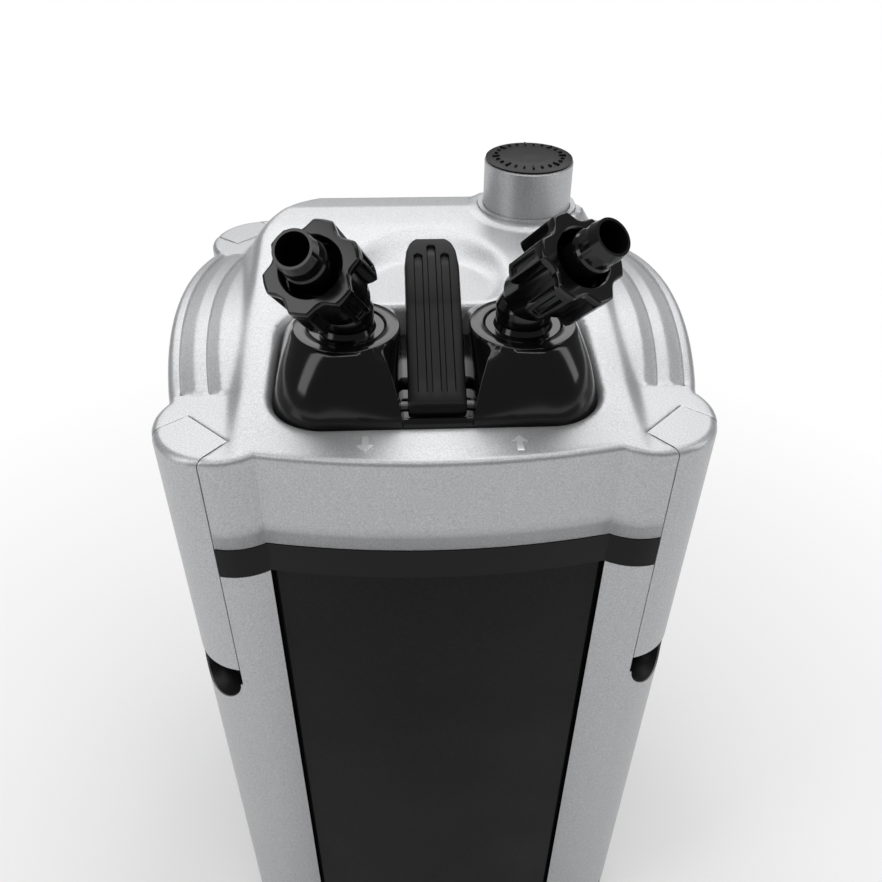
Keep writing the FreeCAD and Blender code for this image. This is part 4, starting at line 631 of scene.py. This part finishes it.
def head_cover():
    """The silver shell: its top skin, the walls under its edges and the recess's floor."""
    plan, faces = cover_skin()
    made = bmesh.new()
    used = sorted({i for face in faces for i in face})
    verts = {i: made.verts.new(top_point(*plan[i])) for i in used}
    for face in faces:
        made.faces.new([verts[i] for i in face])
    bmesh.ops.recalc_face_normals(made, faces=made.faces)
    rim = [edge for edge in made.edges if edge.is_boundary]
    columns, floor_links = {}, {}
    for edge in rim:
        for vert in edge.verts:
            if vert not in columns:
                columns[vert] = [vert] + [made.verts.new(point) for point in wall_stops(*vert.co.xy)]
    for edge in rim:
        a, b = edge.verts
        left, right = columns[a], columns[b]
        if len(left) != len(right):
            continue
        for step in range(len(left) - 1):
            made.faces.new((left[step], right[step], right[step + 1], left[step + 1]))
        if edge_kind(*a.co.xy) == "recess":
            floor_links.setdefault(left[-1], []).append(right[-1])
            floor_links.setdefault(right[-1], []).append(left[-1])
    recess_floor(made, ring_order(floor_links))
    bmesh.ops.remove_doubles(made, verts=made.verts, dist=WELD)
    bmesh.ops.dissolve_degenerate(made, edges=made.edges, dist=WELD)
    bmesh.ops.recalc_face_normals(made, faces=made.faces)
    thin = made.verts.layers.deform.verify()
    for vert in made.verts:
        lean = narrowing(min(vert.co.z, DECK))
        gap = -slot_depth(vert.co.x / lean, vert.co.y / lean)
        vert[thin][0] = max(THINNEST, min(1.0, gap / THIN_REACH))
        fit = 1 - FACET_PLAY * ramp(max(abs(vert.co.x), abs(vert.co.y)), *FACET_ZONE)
        vert.co.x, vert.co.y = vert.co.x * fit, vert.co.y * fit
    shell = object_from(made, "head_cover_shell", SILVER, 32)
    shell.vertex_groups.new(name="wall")
    thicken(shell, COVER_WALL).vertex_group = "wall"
    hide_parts("head_cover")
    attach(shell, "head")


head_cover()


# Valve block: two gloss pods that rise from one foot to the round ports


VALLEY_HALF, BLOCK_WALL, BLOCK_LOW, FOOT = 0.0126, 0.0024, DECK - 0.0143, DECK - 0.004
# The ring's rim and port, the plug under it and the valve's chamber as (radius, height) profiles,
# and the lip as (distance back, height)
PORT = ((0.02030, 0.0259), (0.0199, 0.0260), (0.0176, 0.0260), (0.0155, 0.0260), (0.01525, 0.0259),
        (0.0151, 0.0256), (0.0150, 0.0250), (0.0150, 0.0120), (0.0145, 0.0120), (0.0080, 0.0120),
        (0.0080, -0.0080))
SPIGOT = ((0.0080, -0.0080), (0.0115, -0.0080), (0.0115, -0.0270), (0.0099, -0.0270), (0.0099, -0.0290),
          (0.0115, -0.0290), (0.0115, -0.0334), (0.0109, -0.0340), (0.0080, -0.0340))
LIP = ((0.0006, 0.0), (0.0012, 0.0016), (0.0016, 0.0020), (0.0027, 0.0020), (0.0030, 0.0017))
VALVE_CHAMBER = ((0.0102, -0.0134), (0.0124, -0.0134), (0.0124, 0.0134), (0.0102, 0.0134))
# How far each height over the deck has turned from the foot's plan to the ring's
POD_RISE = ((-0.0040, 0.0), (0.005, 0.16), (0.014, 0.42), (0.022, 0.78), (0.0257, 1.0))


def smooth_through(value, points):
    """A smooth line through (value, height) points."""
    slopes = []
    for step in range(len(points)):
        a, b = points[max(0, step - 1)], points[min(len(points) - 1, step + 1)]
        slopes.append((b[1] - a[1]) / (b[0] - a[0]))
    for step, ((a, ha), (b, hb)) in enumerate(zip(points, points[1:])):
        if value <= b:
            break
    share, span = (value - a) / (b - a), b - a
    rest = 1 - share
    return (ha * (1 + 2 * share) * rest ** 2 + slopes[step] * span * share * rest ** 2
            + hb * share ** 2 * (3 - 2 * share) - slopes[step + 1] * span * share ** 2 * rest)


def foot_and_ring():
    """The pod's foot and its ring, point for point, from the valley's edge round by the front."""
    side, ease = BLOCK_HALF - BLOCK_CORNER, 0.004
    low, high = BLOCK_FRONT + BLOCK_CORNER, BLOCK_BACK - BLOCK_CORNER
    bend = BLOCK_CORNER * DIAGONAL
    soft = ease * (1 - DIAGONAL)
    runs = (
        (line((VALLEY_HALF, BLOCK_FRONT), (side, BLOCK_FRONT), 12), 230, 268),
        (arc((side, BLOCK_FRONT), (side + bend, low - bend), (BLOCK_HALF, low), 18), 268, 350),
        (line((BLOCK_HALF, low), (BLOCK_HALF, high), 8), 350, 370),
        (arc((BLOCK_HALF, high), (side + bend, high + bend), (side, BLOCK_BACK), 18), 370, 452),
        (line((side, BLOCK_BACK), (VALLEY_HALF + ease, BLOCK_BACK), 10), 452, 492),
        (arc((VALLEY_HALF + ease, BLOCK_BACK), (VALLEY_HALF + soft, BLOCK_BACK - soft),
             (VALLEY_HALF, BLOCK_BACK - ease), 5), 492, 504),
        (line((VALLEY_HALF, BLOCK_BACK - ease), (VALLEY_HALF, BLOCK_FRONT), 24), 504, 590))
    foot, ring = [], []
    for points, start, end in runs:
        for step, point in enumerate(points):
            angle = math.radians(start + (end - start) * step / len(points))
            foot.append(point)
            ring.append((math.cos(angle), math.sin(angle)))
    return foot, ring


def pod(made, side):
    """One pod's skin, from its foot up to the ring and down into the port."""
    foot, ring = foot_and_ring()

    def add_ring(points, z):
        return [made.verts.new((side * x, y, z)) for x, y in points]

    def circle(radius):
        return [(RING_PLACE + x * radius, RING_BACK + y * radius) for x, y in ring]

    edge, rings = circle(RING_RADIUS), [add_ring(foot, BLOCK_LOW), add_ring(foot, FOOT - 0.002)]
    for step in range(19):
        rise = POD_RISE[0][0] + (POD_RISE[-1][0] - POD_RISE[0][0]) * step / 18
        mix = smooth_through(rise, POD_RISE)
        rings.append(add_ring([(a + (c - a) * mix, b + (d - b) * mix)
                               for (a, b), (c, d) in zip(foot, edge)], DECK + rise))
    for radius, rise in PORT:
        rings.append(add_ring(circle(radius), DECK + rise))
    join_rings(made, rings)


def lip_and_floor(made):
    """The plate between the pods, with the low wall in front of the lever."""
    top, inside = DECK - 0.0060, (BLOCK_FRONT + BLOCK_WALL, BLOCK_BACK - BLOCK_WALL)
    under = top - BLOCK_WALL
    shape = [(BLOCK_FRONT, BLOCK_LOW), (BLOCK_FRONT, FOOT)]
    shape += [(BLOCK_FRONT + back, DECK + rise) for back, rise in LIP]
    shape += [(BLOCK_FRONT + LIP[-1][0], top), (BLOCK_BACK, top), (BLOCK_BACK, BLOCK_LOW),
              (inside[1], BLOCK_LOW), (inside[1], under), (inside[0], under), (inside[0], BLOCK_LOW)]
    half = VALLEY_HALF + 0.0003
    ends = [[made.verts.new((x, y, z)) for y, z in shape] for x in (-half, half)]
    join_rings(made, ends)
    made.faces.new(ends[0])
    made.faces.new(list(reversed(ends[1])))


def round_ring(made, place, height, reach, count):
    """A ring of vertices whose radius follows from the angle, put in place."""
    ring = []
    for step in range(count):
        angle = 2 * math.pi * step / count
        radius = reach(angle)
        ring.append(made.verts.new(place @ Vector((radius * math.cos(angle), radius * math.sin(angle),
                                                   height))))
    return ring


def lathe(made, profile, place, count=64):
    """A closed turned ring from (radius, height) points, put in place."""
    join_rings(made, [round_ring(made, place, height, lambda angle, radius=radius: radius, count)
                      for radius, height in profile], True)


def valve_block():
    """Both pods as one skin, and the plate, plugs and chambers between and under them."""
    made = bmesh.new()
    pod(made, 1)
    pod(made, -1)
    face_towards(made, lambda face: face.calc_center_median().z, Vector((0, 0, 1)))
    pods = object_from(made, "valve_block_pods", GLOSS_BLACK, 28)
    soften(pods, 0.0007, 3, 38)
    thicken(pods, BLOCK_WALL)
    made = bmesh.new()
    lip_and_floor(made)
    for side in (-1, 1):
        lathe(made, SPIGOT, Matrix.Translation((side * RING_PLACE, RING_BACK, DECK)))
        lathe(made, VALVE_CHAMBER, Matrix.Translation((side * RING_PLACE, RING_BACK, DECK - 0.001))
              @ Matrix.Rotation(math.pi / 2, 4, "Y"))
    bmesh.ops.recalc_face_normals(made, faces=made.faces)
    plate = object_from(made, "valve_block_plate", GLOSS_BLACK, 28)
    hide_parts("valve_block")
    for piece in (pods, plate):
        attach(piece, "valve_block")


valve_block()


# Lock nuts: six finger lobes, each with a groove, and a scalloped flange at the hose end


NUT_LENGTH, NUT_BODY, NUT_LOBE, NUT_MOUTH, NUT_BORE = 0.0215, 0.0138, 0.0176, 0.0110, 0.01215
NUT_START, ELBOW_RISE, ELBOW_TILT, NUT_STEPS = 0.0155, 0.010, 45, 192
# Degrees from lobe to lobe and half of that as a length round the body, a lobe's half width and flank
LOBE_TURN, LOBE_PITCH, LOBE_HALF, LOBE_FLANK = 60, 0.0079, 0.0040, 0.0010
LOBE_GROOVE, LOBE_GROOVE_HALF, LOBE_GROOVE_FLANK = (0.0022, 0.0165), 0.0016, 0.0006
LOBE_GROOVE_DEPTH = 0.0013
FLANGE_START, FLANGE_DIP, FLANGE_FLAT = 0.0182, 0.0030, 0.0030
# Near each end the outline draws in, as (distance from the end, how much)
FOOT_EASE, END_EASE = (0.0006, 0.0008), ((0.0004, 0.0009), (0.0012, 0.0002))
# Where the rings lie along the nut outside, and inside as (radius, height)
NUT_LEVELS = (0.0, 0.0006, 0.0021, 0.0024, 0.0080, 0.0163, 0.0166, 0.0176, 0.0184, 0.0202, 0.0210,
              NUT_LENGTH)
NUT_INSIDE = ((NUT_MOUTH + 0.0006, NUT_LENGTH), (NUT_MOUTH, NUT_LENGTH - 0.0006),
              (NUT_MOUTH, NUT_LENGTH - 0.0060), (NUT_BORE, NUT_LENGTH - 0.0080), (NUT_BORE, 0.0))


def nut_reach(angle, level):
    """The nut's radius at an angle, that far along it."""
    off = (math.degrees(angle) + LOBE_TURN / 2) % LOBE_TURN - LOBE_TURN / 2
    away = abs(off) / (LOBE_TURN / 2) * LOBE_PITCH
    lobe = NUT_BODY + (NUT_LOBE - NUT_BODY) * ramp(LOBE_HALF - away, 0, LOBE_FLANK)
    if LOBE_GROOVE[0] < level < LOBE_GROOVE[1]:
        lobe -= LOBE_GROOVE_DEPTH * ramp(LOBE_GROOVE_HALF - away, 0, LOBE_GROOVE_FLANK)
    if level > FLANGE_START:
        share = max(0.0, min(1.0, (away - FLANGE_FLAT) / (LOBE_PITCH - FLANGE_FLAT)))
        lobe = max(lobe, NUT_LOBE - FLANGE_DIP * math.sin(math.pi / 2 * share))
    if level < FOOT_EASE[0]:
        lobe = min(lobe, NUT_LOBE - FOOT_EASE[1])
    for near, drawn in END_EASE:
        if level > NUT_LENGTH - near:
            return lobe - drawn
    return lobe


def nut(name, side, turn):
    """A lobed nut on its tilted hose connector, which is turned that many degrees."""
    place = (Matrix.Translation((side * RING_PLACE, RING_BACK, DECK + RING_RISE))
             @ Matrix.Rotation(math.radians(turn), 4, "Z") @ Matrix.Translation((0, 0, ELBOW_RISE))
             @ Matrix.Rotation(math.radians(ELBOW_TILT), 4, "Y") @ Matrix.Translation((0, 0, NUT_START)))
    made = bmesh.new()
    outside = [lambda angle, level=level: nut_reach(angle, level) for level in NUT_LEVELS]
    inside = [lambda angle, radius=radius: radius for radius, _ in NUT_INSIDE]
    levels = list(NUT_LEVELS) + [level for _, level in NUT_INSIDE]
    join_rings(made, [round_ring(made, place, level, reach, NUT_STEPS)
                      for level, reach in zip(levels, outside + inside)], True)
    bmesh.ops.recalc_face_normals(made, faces=made.faces)
    piece = object_from(made, name + "_lobed", GLOSS_BLACK, 30)
    soften(piece, 0.0004, 2, 32)
    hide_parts(name)
    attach(piece, name)


nut("outlet_lock_nut", -1, -112)
nut("inlet_lock_nut", 1, -50)


# Lock lever: a bent blade with three long grooves, swept from its round foot to its free end


LEVER_PIVOT, LEVER_NOSE, LEVER_THICK = Vector((0, -0.079, DECK + 0.0036)), 0.0044, 0.005
LEVER_BEND, LEVER_END = Vector((0, -0.028, DECK + 0.0355)), Vector((0, -0.011, DECK + 0.0405))
# How far up the blade its bend begins; its side and underside as (distance in, depth)
LEVER_KNEE, LEVER_SIDE, LEVER_UNDER = 0.72, ((0.0, 0.0012), (0.0003, 0.0004), (0.0010, 0.0)), 0.0006
LINE_PITCH, LINE_HALF, LINE_LIP, LINE_TOE, LINE_MARGIN = 0.0054, 0.0016, 0.00025, 0.00015, 0.0011
LINE_START = (0.0060, 0.0072)
# Where the middle groove and the outer two end, and how deep they are along the blade and at the end
LINE_ENDS, LINE_DEPTH, LINE_DEEPER = (-0.0148, -0.0200), 0.0006, 0.0012
# Half the blade's width along y
LEVER_WIDTH = ((-0.026, 0.0110), (-0.0175, 0.0101), (-0.0140, 0.0090), (-0.0120, 0.0078), (-0.0105, 0.0064))


def lever_stations():
    """Along the blade: (point on its top, outward normal, depth to its underside)."""
    run = LEVER_BEND - LEVER_PIVOT
    slope = math.atan2(run.z, run.y) - math.asin(LEVER_NOSE / run.length)
    up = Vector((0, -math.sin(slope), math.cos(slope)))
    stations = []
    for turn in (165, 140, 115, 90, 65, 40, 18):
        normal = Matrix.Rotation(math.radians(turn), 3, "X") @ up
        stations.append((LEVER_PIVOT + normal * LEVER_NOSE, normal, LEVER_NOSE - 0.0003))
    start = LEVER_PIVOT + up * LEVER_NOSE
    knee = start + (LEVER_BEND - start) * LEVER_KNEE
    stations += [(start + (knee - start) * step / 12, up, LEVER_THICK) for step in range(12)]
    bent = arc(tuple(knee.yz), tuple(LEVER_BEND.yz), tuple(LEVER_END.yz), 70) + [tuple(LEVER_END.yz)]
    for step, (y, z) in enumerate(bent):
        ay, az = bent[max(0, step - 1)]
        by, bz = bent[min(len(bent) - 1, step + 1)]
        stations.append((Vector((0, y, z)), Vector((0, az - bz, by - ay)).normalized(), LEVER_THICK))
    return stations


def groove_end(left):
    """(half width, depth) of a groove, by the distance left to its round, deeper upper end."""
    share = max(0.0, min(1.0, left / LINE_HALF))
    half = max(0.0003, LINE_HALF * math.sqrt(share * (2 - share)))
    fade = ramp(left, 0.0014, 0.0070)
    return half, (LINE_DEEPER - (LINE_DEEPER - LINE_DEPTH) * fade) * ramp(left, 0, 0.0003)


def lever_section(width, grooves):
    """Across the blade from right to left on top, and back underneath: (x, depth under the top)."""
    top = [(width - inset, depth) for inset, depth in LEVER_SIDE]
    for middle in (LINE_PITCH, 0.0, -LINE_PITCH):
        half, deep = grooves[0 if middle == 0 else 1]
        top += [(middle + half + LINE_LIP, 0.0), (middle + half - LINE_TOE, deep),
                (middle - half + LINE_TOE, deep), (middle - half - LINE_LIP, 0.0)]
    top += [(inset - width, depth) for inset, depth in reversed(LEVER_SIDE)]
    limit = width - LINE_MARGIN
    return [(max(-limit, min(limit, x)) if 2 < step < len(top) - 3 else x, depth)
            for step, (x, depth) in enumerate(top)]


def lock_lever():
    """The blade, as sections across it joined along its length."""
    made = bmesh.new()
    rings = []
    for point, normal, thick in lever_stations():
        width = straight(point.y, LEVER_WIDTH)
        far = math.copysign((point - LEVER_PIVOT).length, point.y - LEVER_PIVOT.y)
        near_foot = ramp(far, *LINE_START)
        grooves = [(half, deep * near_foot) for half, deep in
                   (groove_end(end - point.y) for end in LINE_ENDS)]
        ring = [made.verts.new(point + Vector((x, 0, 0)) - normal * depth)
                for x, depth in lever_section(width, grooves)]
        for x in (-width, -width + LEVER_UNDER, width - LEVER_UNDER, width):
            deep = thick - (LEVER_UNDER if abs(x) == width else 0.0)
            ring.append(made.verts.new(point + Vector((x, 0, 0)) - normal * deep))
        rings.append(ring)
    join_rings(made, rings)
    made.faces.new(rings[0])
    made.faces.new(list(reversed(rings[-1])))
    bmesh.ops.remove_doubles(made, verts=made.verts, dist=0.00001)
    bmesh.ops.dissolve_degenerate(made, edges=made.edges, dist=0.00001)
    bmesh.ops.recalc_face_normals(made, faces=made.faces)
    blade = object_from(made, "lock_lever_blade", SATIN_BLACK, 30)
    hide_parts("lock_lever")
    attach(blade, "lock_lever")


lock_lever()


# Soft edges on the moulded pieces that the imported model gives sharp


EDGED = ["rim_band", "priming_collar", "outlet_connector", "inlet_connector"]
for kind in ("latch_lever_", "corner_pillar_"):
    EDGED += [kind + corner for corner in CORNERS]
for edged in EDGED:
    soften(NODES[edged], 0.00035, 2, 40)


# Marks: a ring of plain ticks on the knob's cap, and a flow arrow beside each port


def bar(made, place, half_x, half_y, height, ease=0.00012):
    """A low bar with eased upper edges, standing on place's ground."""
    rings = []
    for grow, z in ((0.0, -0.0004), (0.0, height - ease), (-ease, height)):
        rings.append([made.verts.new(place @ Vector((x * (half_x + grow), y * (half_y + grow), z)))
                      for x, y in ((-1, -1), (1, -1), (1, 1), (-1, 1))])
    join_rings(made, rings)
    made.faces.new(rings[-1])


def cap_ticks():
    """Plain ticks round the cap's edge, with every third one longer."""
    count, ring, long, short, half, sunk = 24, 0.0163, 0.0018, 0.0009, 0.00045, 0.00045
    low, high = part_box("knob_cap")
    middle = (Vector(low) + Vector(high)) / 2
    made = bmesh.new()
    for step in range(count):
        turn = Matrix.Rotation(2 * math.pi * step / count, 4, "Z")
        ground = Matrix.Translation((middle.x, middle.y, high[2] - sunk)) @ turn
        bar(made, ground @ Matrix.Translation((ring, 0, 0)), short if step % 3 else long, half, 0.00042)
    bmesh.ops.recalc_face_normals(made, faces=made.faces)
    ticks = object_from(made, "knob_cap_ticks", GLOSS_BLACK, 30)
    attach(ticks, "priming_knob")


def arrow(name, x, y, turn):
    """A raised arrow that follows the shelf in front of the ports."""
    made = bmesh.new()
    tip, neck, mid, wing, shaft = 0.0044, 0.0010, -0.0018, 0.0030, 0.0012
    plan = ((tip, 0.0), (neck, wing), (neck, shaft), (mid, shaft), (-tip, shaft), (-tip, -shaft),
            (mid, -shaft), (neck, -shaft), (neck, -wing))
    levels = ((1.0, -0.0006), (1.0, 0.00070), (0.93, 0.00085))
    rings = []
    for grow, rise in levels:
        places = [(x + (math.cos(turn) * px - math.sin(turn) * py) * grow,
                   y + (math.sin(turn) * px + math.cos(turn) * py) * grow) for px, py in plan]
        rings.append([made.verts.new((*place, DECK + top_height(*place) + rise)) for place in places])
    join_rings(made, rings)
    made.faces.new(rings[-1])
    bmesh.ops.recalc_face_normals(made, faces=made.faces)
    mark = object_from(made, name, POLISHED, 30)
    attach(mark, "head")


cap_ticks()
arrow("flow_arrow_out", -0.0270, -0.0990, math.radians(-90))
arrow("flow_arrow_in", 0.0290, -0.1002, math.radians(90))


# Dark skins in the finger notches under the latches: on the floor the black vessel behind the cut-out, on
# the silver walls painted shade


# Half width, height of the round end's middle, top, and floor out from the canister's middle
NOTCH_HALF, NOTCH_MIDDLE, NOTCH_TOP, NOTCH_FLOOR = 0.01235, 0.2069, 0.2160, 0.12388
# The pillar's face out from the middle, how far it falls back to the notch's sides, the sides' flare
PILLAR_OUTSIDE, PILLAR_BOW, NOTCH_FLARE, NOTCH_SKIN_WALL = 0.1353, 0.0036, 0.11, 0.0004


def notch_vessel_and_shade(corner, turn):
    """A dark skin on the walls and floor of the finger notch under one latch: the black vessel on the
    floor, painted shade on the walls.
    """
    made = bmesh.new()
    steps, bend = 24, NOTCH_MIDDLE + 0.0002
    path = [(-NOTCH_HALF, NOTCH_TOP, NOTCH_FLARE), (-NOTCH_HALF, bend, NOTCH_FLARE)]
    for step in range(steps + 1):
        angle = math.pi * (1 + step / steps)
        path.append((NOTCH_HALF * math.cos(angle), NOTCH_MIDDLE + NOTCH_HALF * math.sin(angle), 0.0))
    path += [(NOTCH_HALF, bend, NOTCH_FLARE), (NOTCH_HALF, NOTCH_TOP, NOTCH_FLARE)]
    outward = Matrix.Rotation(turn, 3, "Z") @ Vector((1, -1, 0)).normalized()
    across = Vector((-outward.y, outward.x, 0))
    foot, mouth = [], []
    for side, z, flare in path:
        foot.append(made.verts.new(outward * NOTCH_FLOOR + across * side + Vector((0, 0, z))))
        out = PILLAR_OUTSIDE - PILLAR_BOW * (side / NOTCH_HALF) ** 2
        wide = side + math.copysign(flare * (out - NOTCH_FLOOR), side)
        mouth.append(made.verts.new(outward * out + across * wide + Vector((0, 0, z))))
    for step in range(len(path) - 1):
        made.faces.new((foot[step], foot[step + 1], mouth[step + 1], mouth[step]))
    made.faces.new(foot)
    face_towards(made, lambda face: len(face.verts), outward)
    # Satin black on the notch walls is painted shade; on the floor it is the black vessel showing through
    vessel_and_shade_skin = object_from(made, "notch_vessel_and_shade_" + corner, SATIN_BLACK, 40)
    thicken(vessel_and_shade_skin, NOTCH_SKIN_WALL)
    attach(vessel_and_shade_skin, "canister")


for quarter, corner_name in enumerate(CORNERS):
    notch_vessel_and_shade(corner_name, quarter * math.pi / 2)


# The priming pump's spring


def pump_spring():
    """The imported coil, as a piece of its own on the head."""
    coil = new_object("priming_spring_coil", NODES["priming_spring"].data.copy())
    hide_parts("priming_spring")
    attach(coil, "head")
    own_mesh(coil)


pump_spring()


# Filter media: open foam and loose wool in place of their plain blocks


# Grain of the pores and of the fibres per metre, and how wide and deep the blocks' edges are worn
PORES, FIBRES, EDGE_ZONE, EDGE_WEAR, MEDIA_VOXEL = 120, 640, 0.004, 0.0012, 0.0022


def media(name, source, slot, coarse, fine):
    """The block's space, filled by a fine mesh whose surface is broken up by pores or fibres."""
    piece = new_object(name, NODES[source].data.copy())
    cells = piece.modifiers.new("cells", "REMESH")
    cells.mode, cells.voxel_size = "VOXEL", MEDIA_VOXEL
    bpy.context.view_layer.update()
    ready = bpy.data.meshes.new_from_object(piece.evaluated_get(bpy.context.evaluated_depsgraph_get()))
    piece.modifiers.clear()
    piece.data = ready
    low, high = (Vector(corner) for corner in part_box(source))
    normals = [vert.normal.copy() for vert in ready.vertices]
    for vert, normal in zip(ready.vertices, normals):
        place = vert.co
        dent = coarse * max(0.0, cell.noise(place * PORES) + 0.35)
        dent += fine * abs(cell.noise(place * FIBRES))
        near = sum(1 for axis in range(3)
                   if min(place[axis] - low[axis], high[axis] - place[axis]) < EDGE_ZONE)
        vert.co = place - normal * (dent + EDGE_WEAR * max(0, near - 1))
    ready.materials.clear()
    ready.materials.append(SLOTS[slot])
    ready.shade_smooth()
    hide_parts(source)
    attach(piece, "canister")


media("coarse_foam_pad", "coarse_foam", "foam_blue", 0.0005, 0.0016)
media("fine_floss_pad", "fine_floss", "floss_white", 0.0016, 0.0008)


# The room: pale floor, soft lamps, and the photograph's camera


def floor():
    """Pale ground; away from the object the eye and mirrors see it turn plain white."""
    half, drop = 4.0, 0.0002
    mesh = bpy.data.meshes.new("studio_floor")
    mesh.from_pydata([(-half, -half, 0), (half, -half, 0), (half, half, 0), (-half, half, 0)], [],
                     [(0, 1, 2, 3)])
    made = new_object("studio_floor", mesh)
    paint = shader("studio_floor", (0.82, 0.82, 0.82), 0.9, specular=0.1)
    tree = paint.node_tree
    place = add(paint, "ShaderNodeTexCoord")
    length = add(paint, "ShaderNodeVectorMath")
    length.operation = "LENGTH"
    near, edge, share_near = 0.16, 0.55, 0.35
    far = add(paint, "ShaderNodeMapRange", From_Min=near, From_Max=edge, To_Min=share_near, To_Max=1.0)
    rays = plain_rays(paint)
    share = add(paint, "ShaderNodeMath")
    share.operation = "MULTIPLY"
    white = add(paint, "ShaderNodeEmission", Color=(1, 1, 1, 1), Strength=1.0)
    mix = add(paint, "ShaderNodeMixShader")
    link(paint, place, "Object", length, 0)
    link(paint, length, "Value", far, "Value")
    link(paint, far, "Result", share, 0)
    link(paint, rays, 0, share, 1)
    link(paint, share, 0, mix, "Fac")
    link(paint, tree.nodes["Principled BSDF"], 0, mix, 1)
    link(paint, white, 0, mix, 2)
    link(paint, mix, 0, tree.nodes["Material Output"], "Surface")
    mesh.materials.append(paint)
    made.location.z = -drop


def plain_rays(paint):
    """1 for rays from the eye and for rays that mirrors and glass send on."""
    path = add(paint, "ShaderNodeLightPath")
    first, second = add(paint, "ShaderNodeMath"), add(paint, "ShaderNodeMath")
    first.operation = second.operation = "MAXIMUM"
    link(paint, path, "Is Camera Ray", first, 0)
    link(paint, path, "Is Glossy Ray", first, 1)
    link(paint, first, 0, second, 0)
    link(paint, path, "Is Transmission Ray", second, 1)
    return second


def lamp(name, place, aim, width, height, watts):
    """A soft lamp with the size given in metres, turned to its aim."""
    data = bpy.data.lights.new(name, "AREA")
    data.shape = "RECTANGLE"
    data.size, data.size_y, data.energy = width, height, watts
    made = new_object(name, data)
    made.location = place
    made.rotation_euler = (Vector(aim) - Vector(place)).to_track_quat("-Z", "Y").to_euler()


def world():
    """Soft even light, which the eye sees as white."""
    made = bpy.data.worlds.new("studio")
    made.use_nodes = True
    bpy.context.scene.world = made
    back = made.node_tree.nodes["Background"]
    back.inputs["Color"].default_value = (1, 1, 1, 1)
    path = add(made, "ShaderNodeLightPath")
    level = add(made, "ShaderNodeMapRange", To_Min=0.22, To_Max=1.0)
    link(made, path, "Is Camera Ray", level, "Value")
    link(made, level, "Result", back, "Strength")


def camera():
    """The photograph's eye, with its turn, downward pitch and slight roll."""
    yaw, pitch, roll = (math.radians(angle) for angle in (3.20382, 36.06008, 0.61152))
    forward = Vector((math.sin(yaw) * math.cos(pitch), math.cos(yaw) * math.cos(pitch), -math.sin(pitch)))
    right = Vector((math.cos(yaw), -math.sin(yaw), 0))
    above = right.cross(forward)
    across = right * math.cos(roll) + above * math.sin(roll)
    upward = above * math.cos(roll) - right * math.sin(roll)
    data = bpy.data.cameras.new("camera")
    data.sensor_width, data.lens, data.clip_start = 36.0, 39.087, 0.01
    made = new_object("camera", data)
    turn = Matrix((across, upward, -forward)).transposed().to_4x4()
    made.matrix_world = Matrix.Translation((-0.015242, -0.378132, DECK + 0.205253)) @ turn
    bpy.context.scene.camera = made


floor()
lamp("top", (0.1, 0.3, 1.7), (0, 0, 0.3), 1.3, 1.0, 9.5)
lamp("back", (0.0, 1.5, 1.55), (0, 0, 0.33), 2.0, 0.8, 13)
lamp("left_strip", (-0.9, -0.50, 0.95), (0, 0, 0.33), 0.40, 1.1, 4.0)
lamp("right_strip", (1.1, -0.2, 0.9), (0, 0, 0.33), 0.3, 1.0, 2.6)
lamp("front_edge", (0.0, -0.80, 1.55), (0, -0.1, 0.4), 1.6, 0.12, 3.6)
world()
camera()
bpy.context.scene.view_settings.view_transform = "Standard"
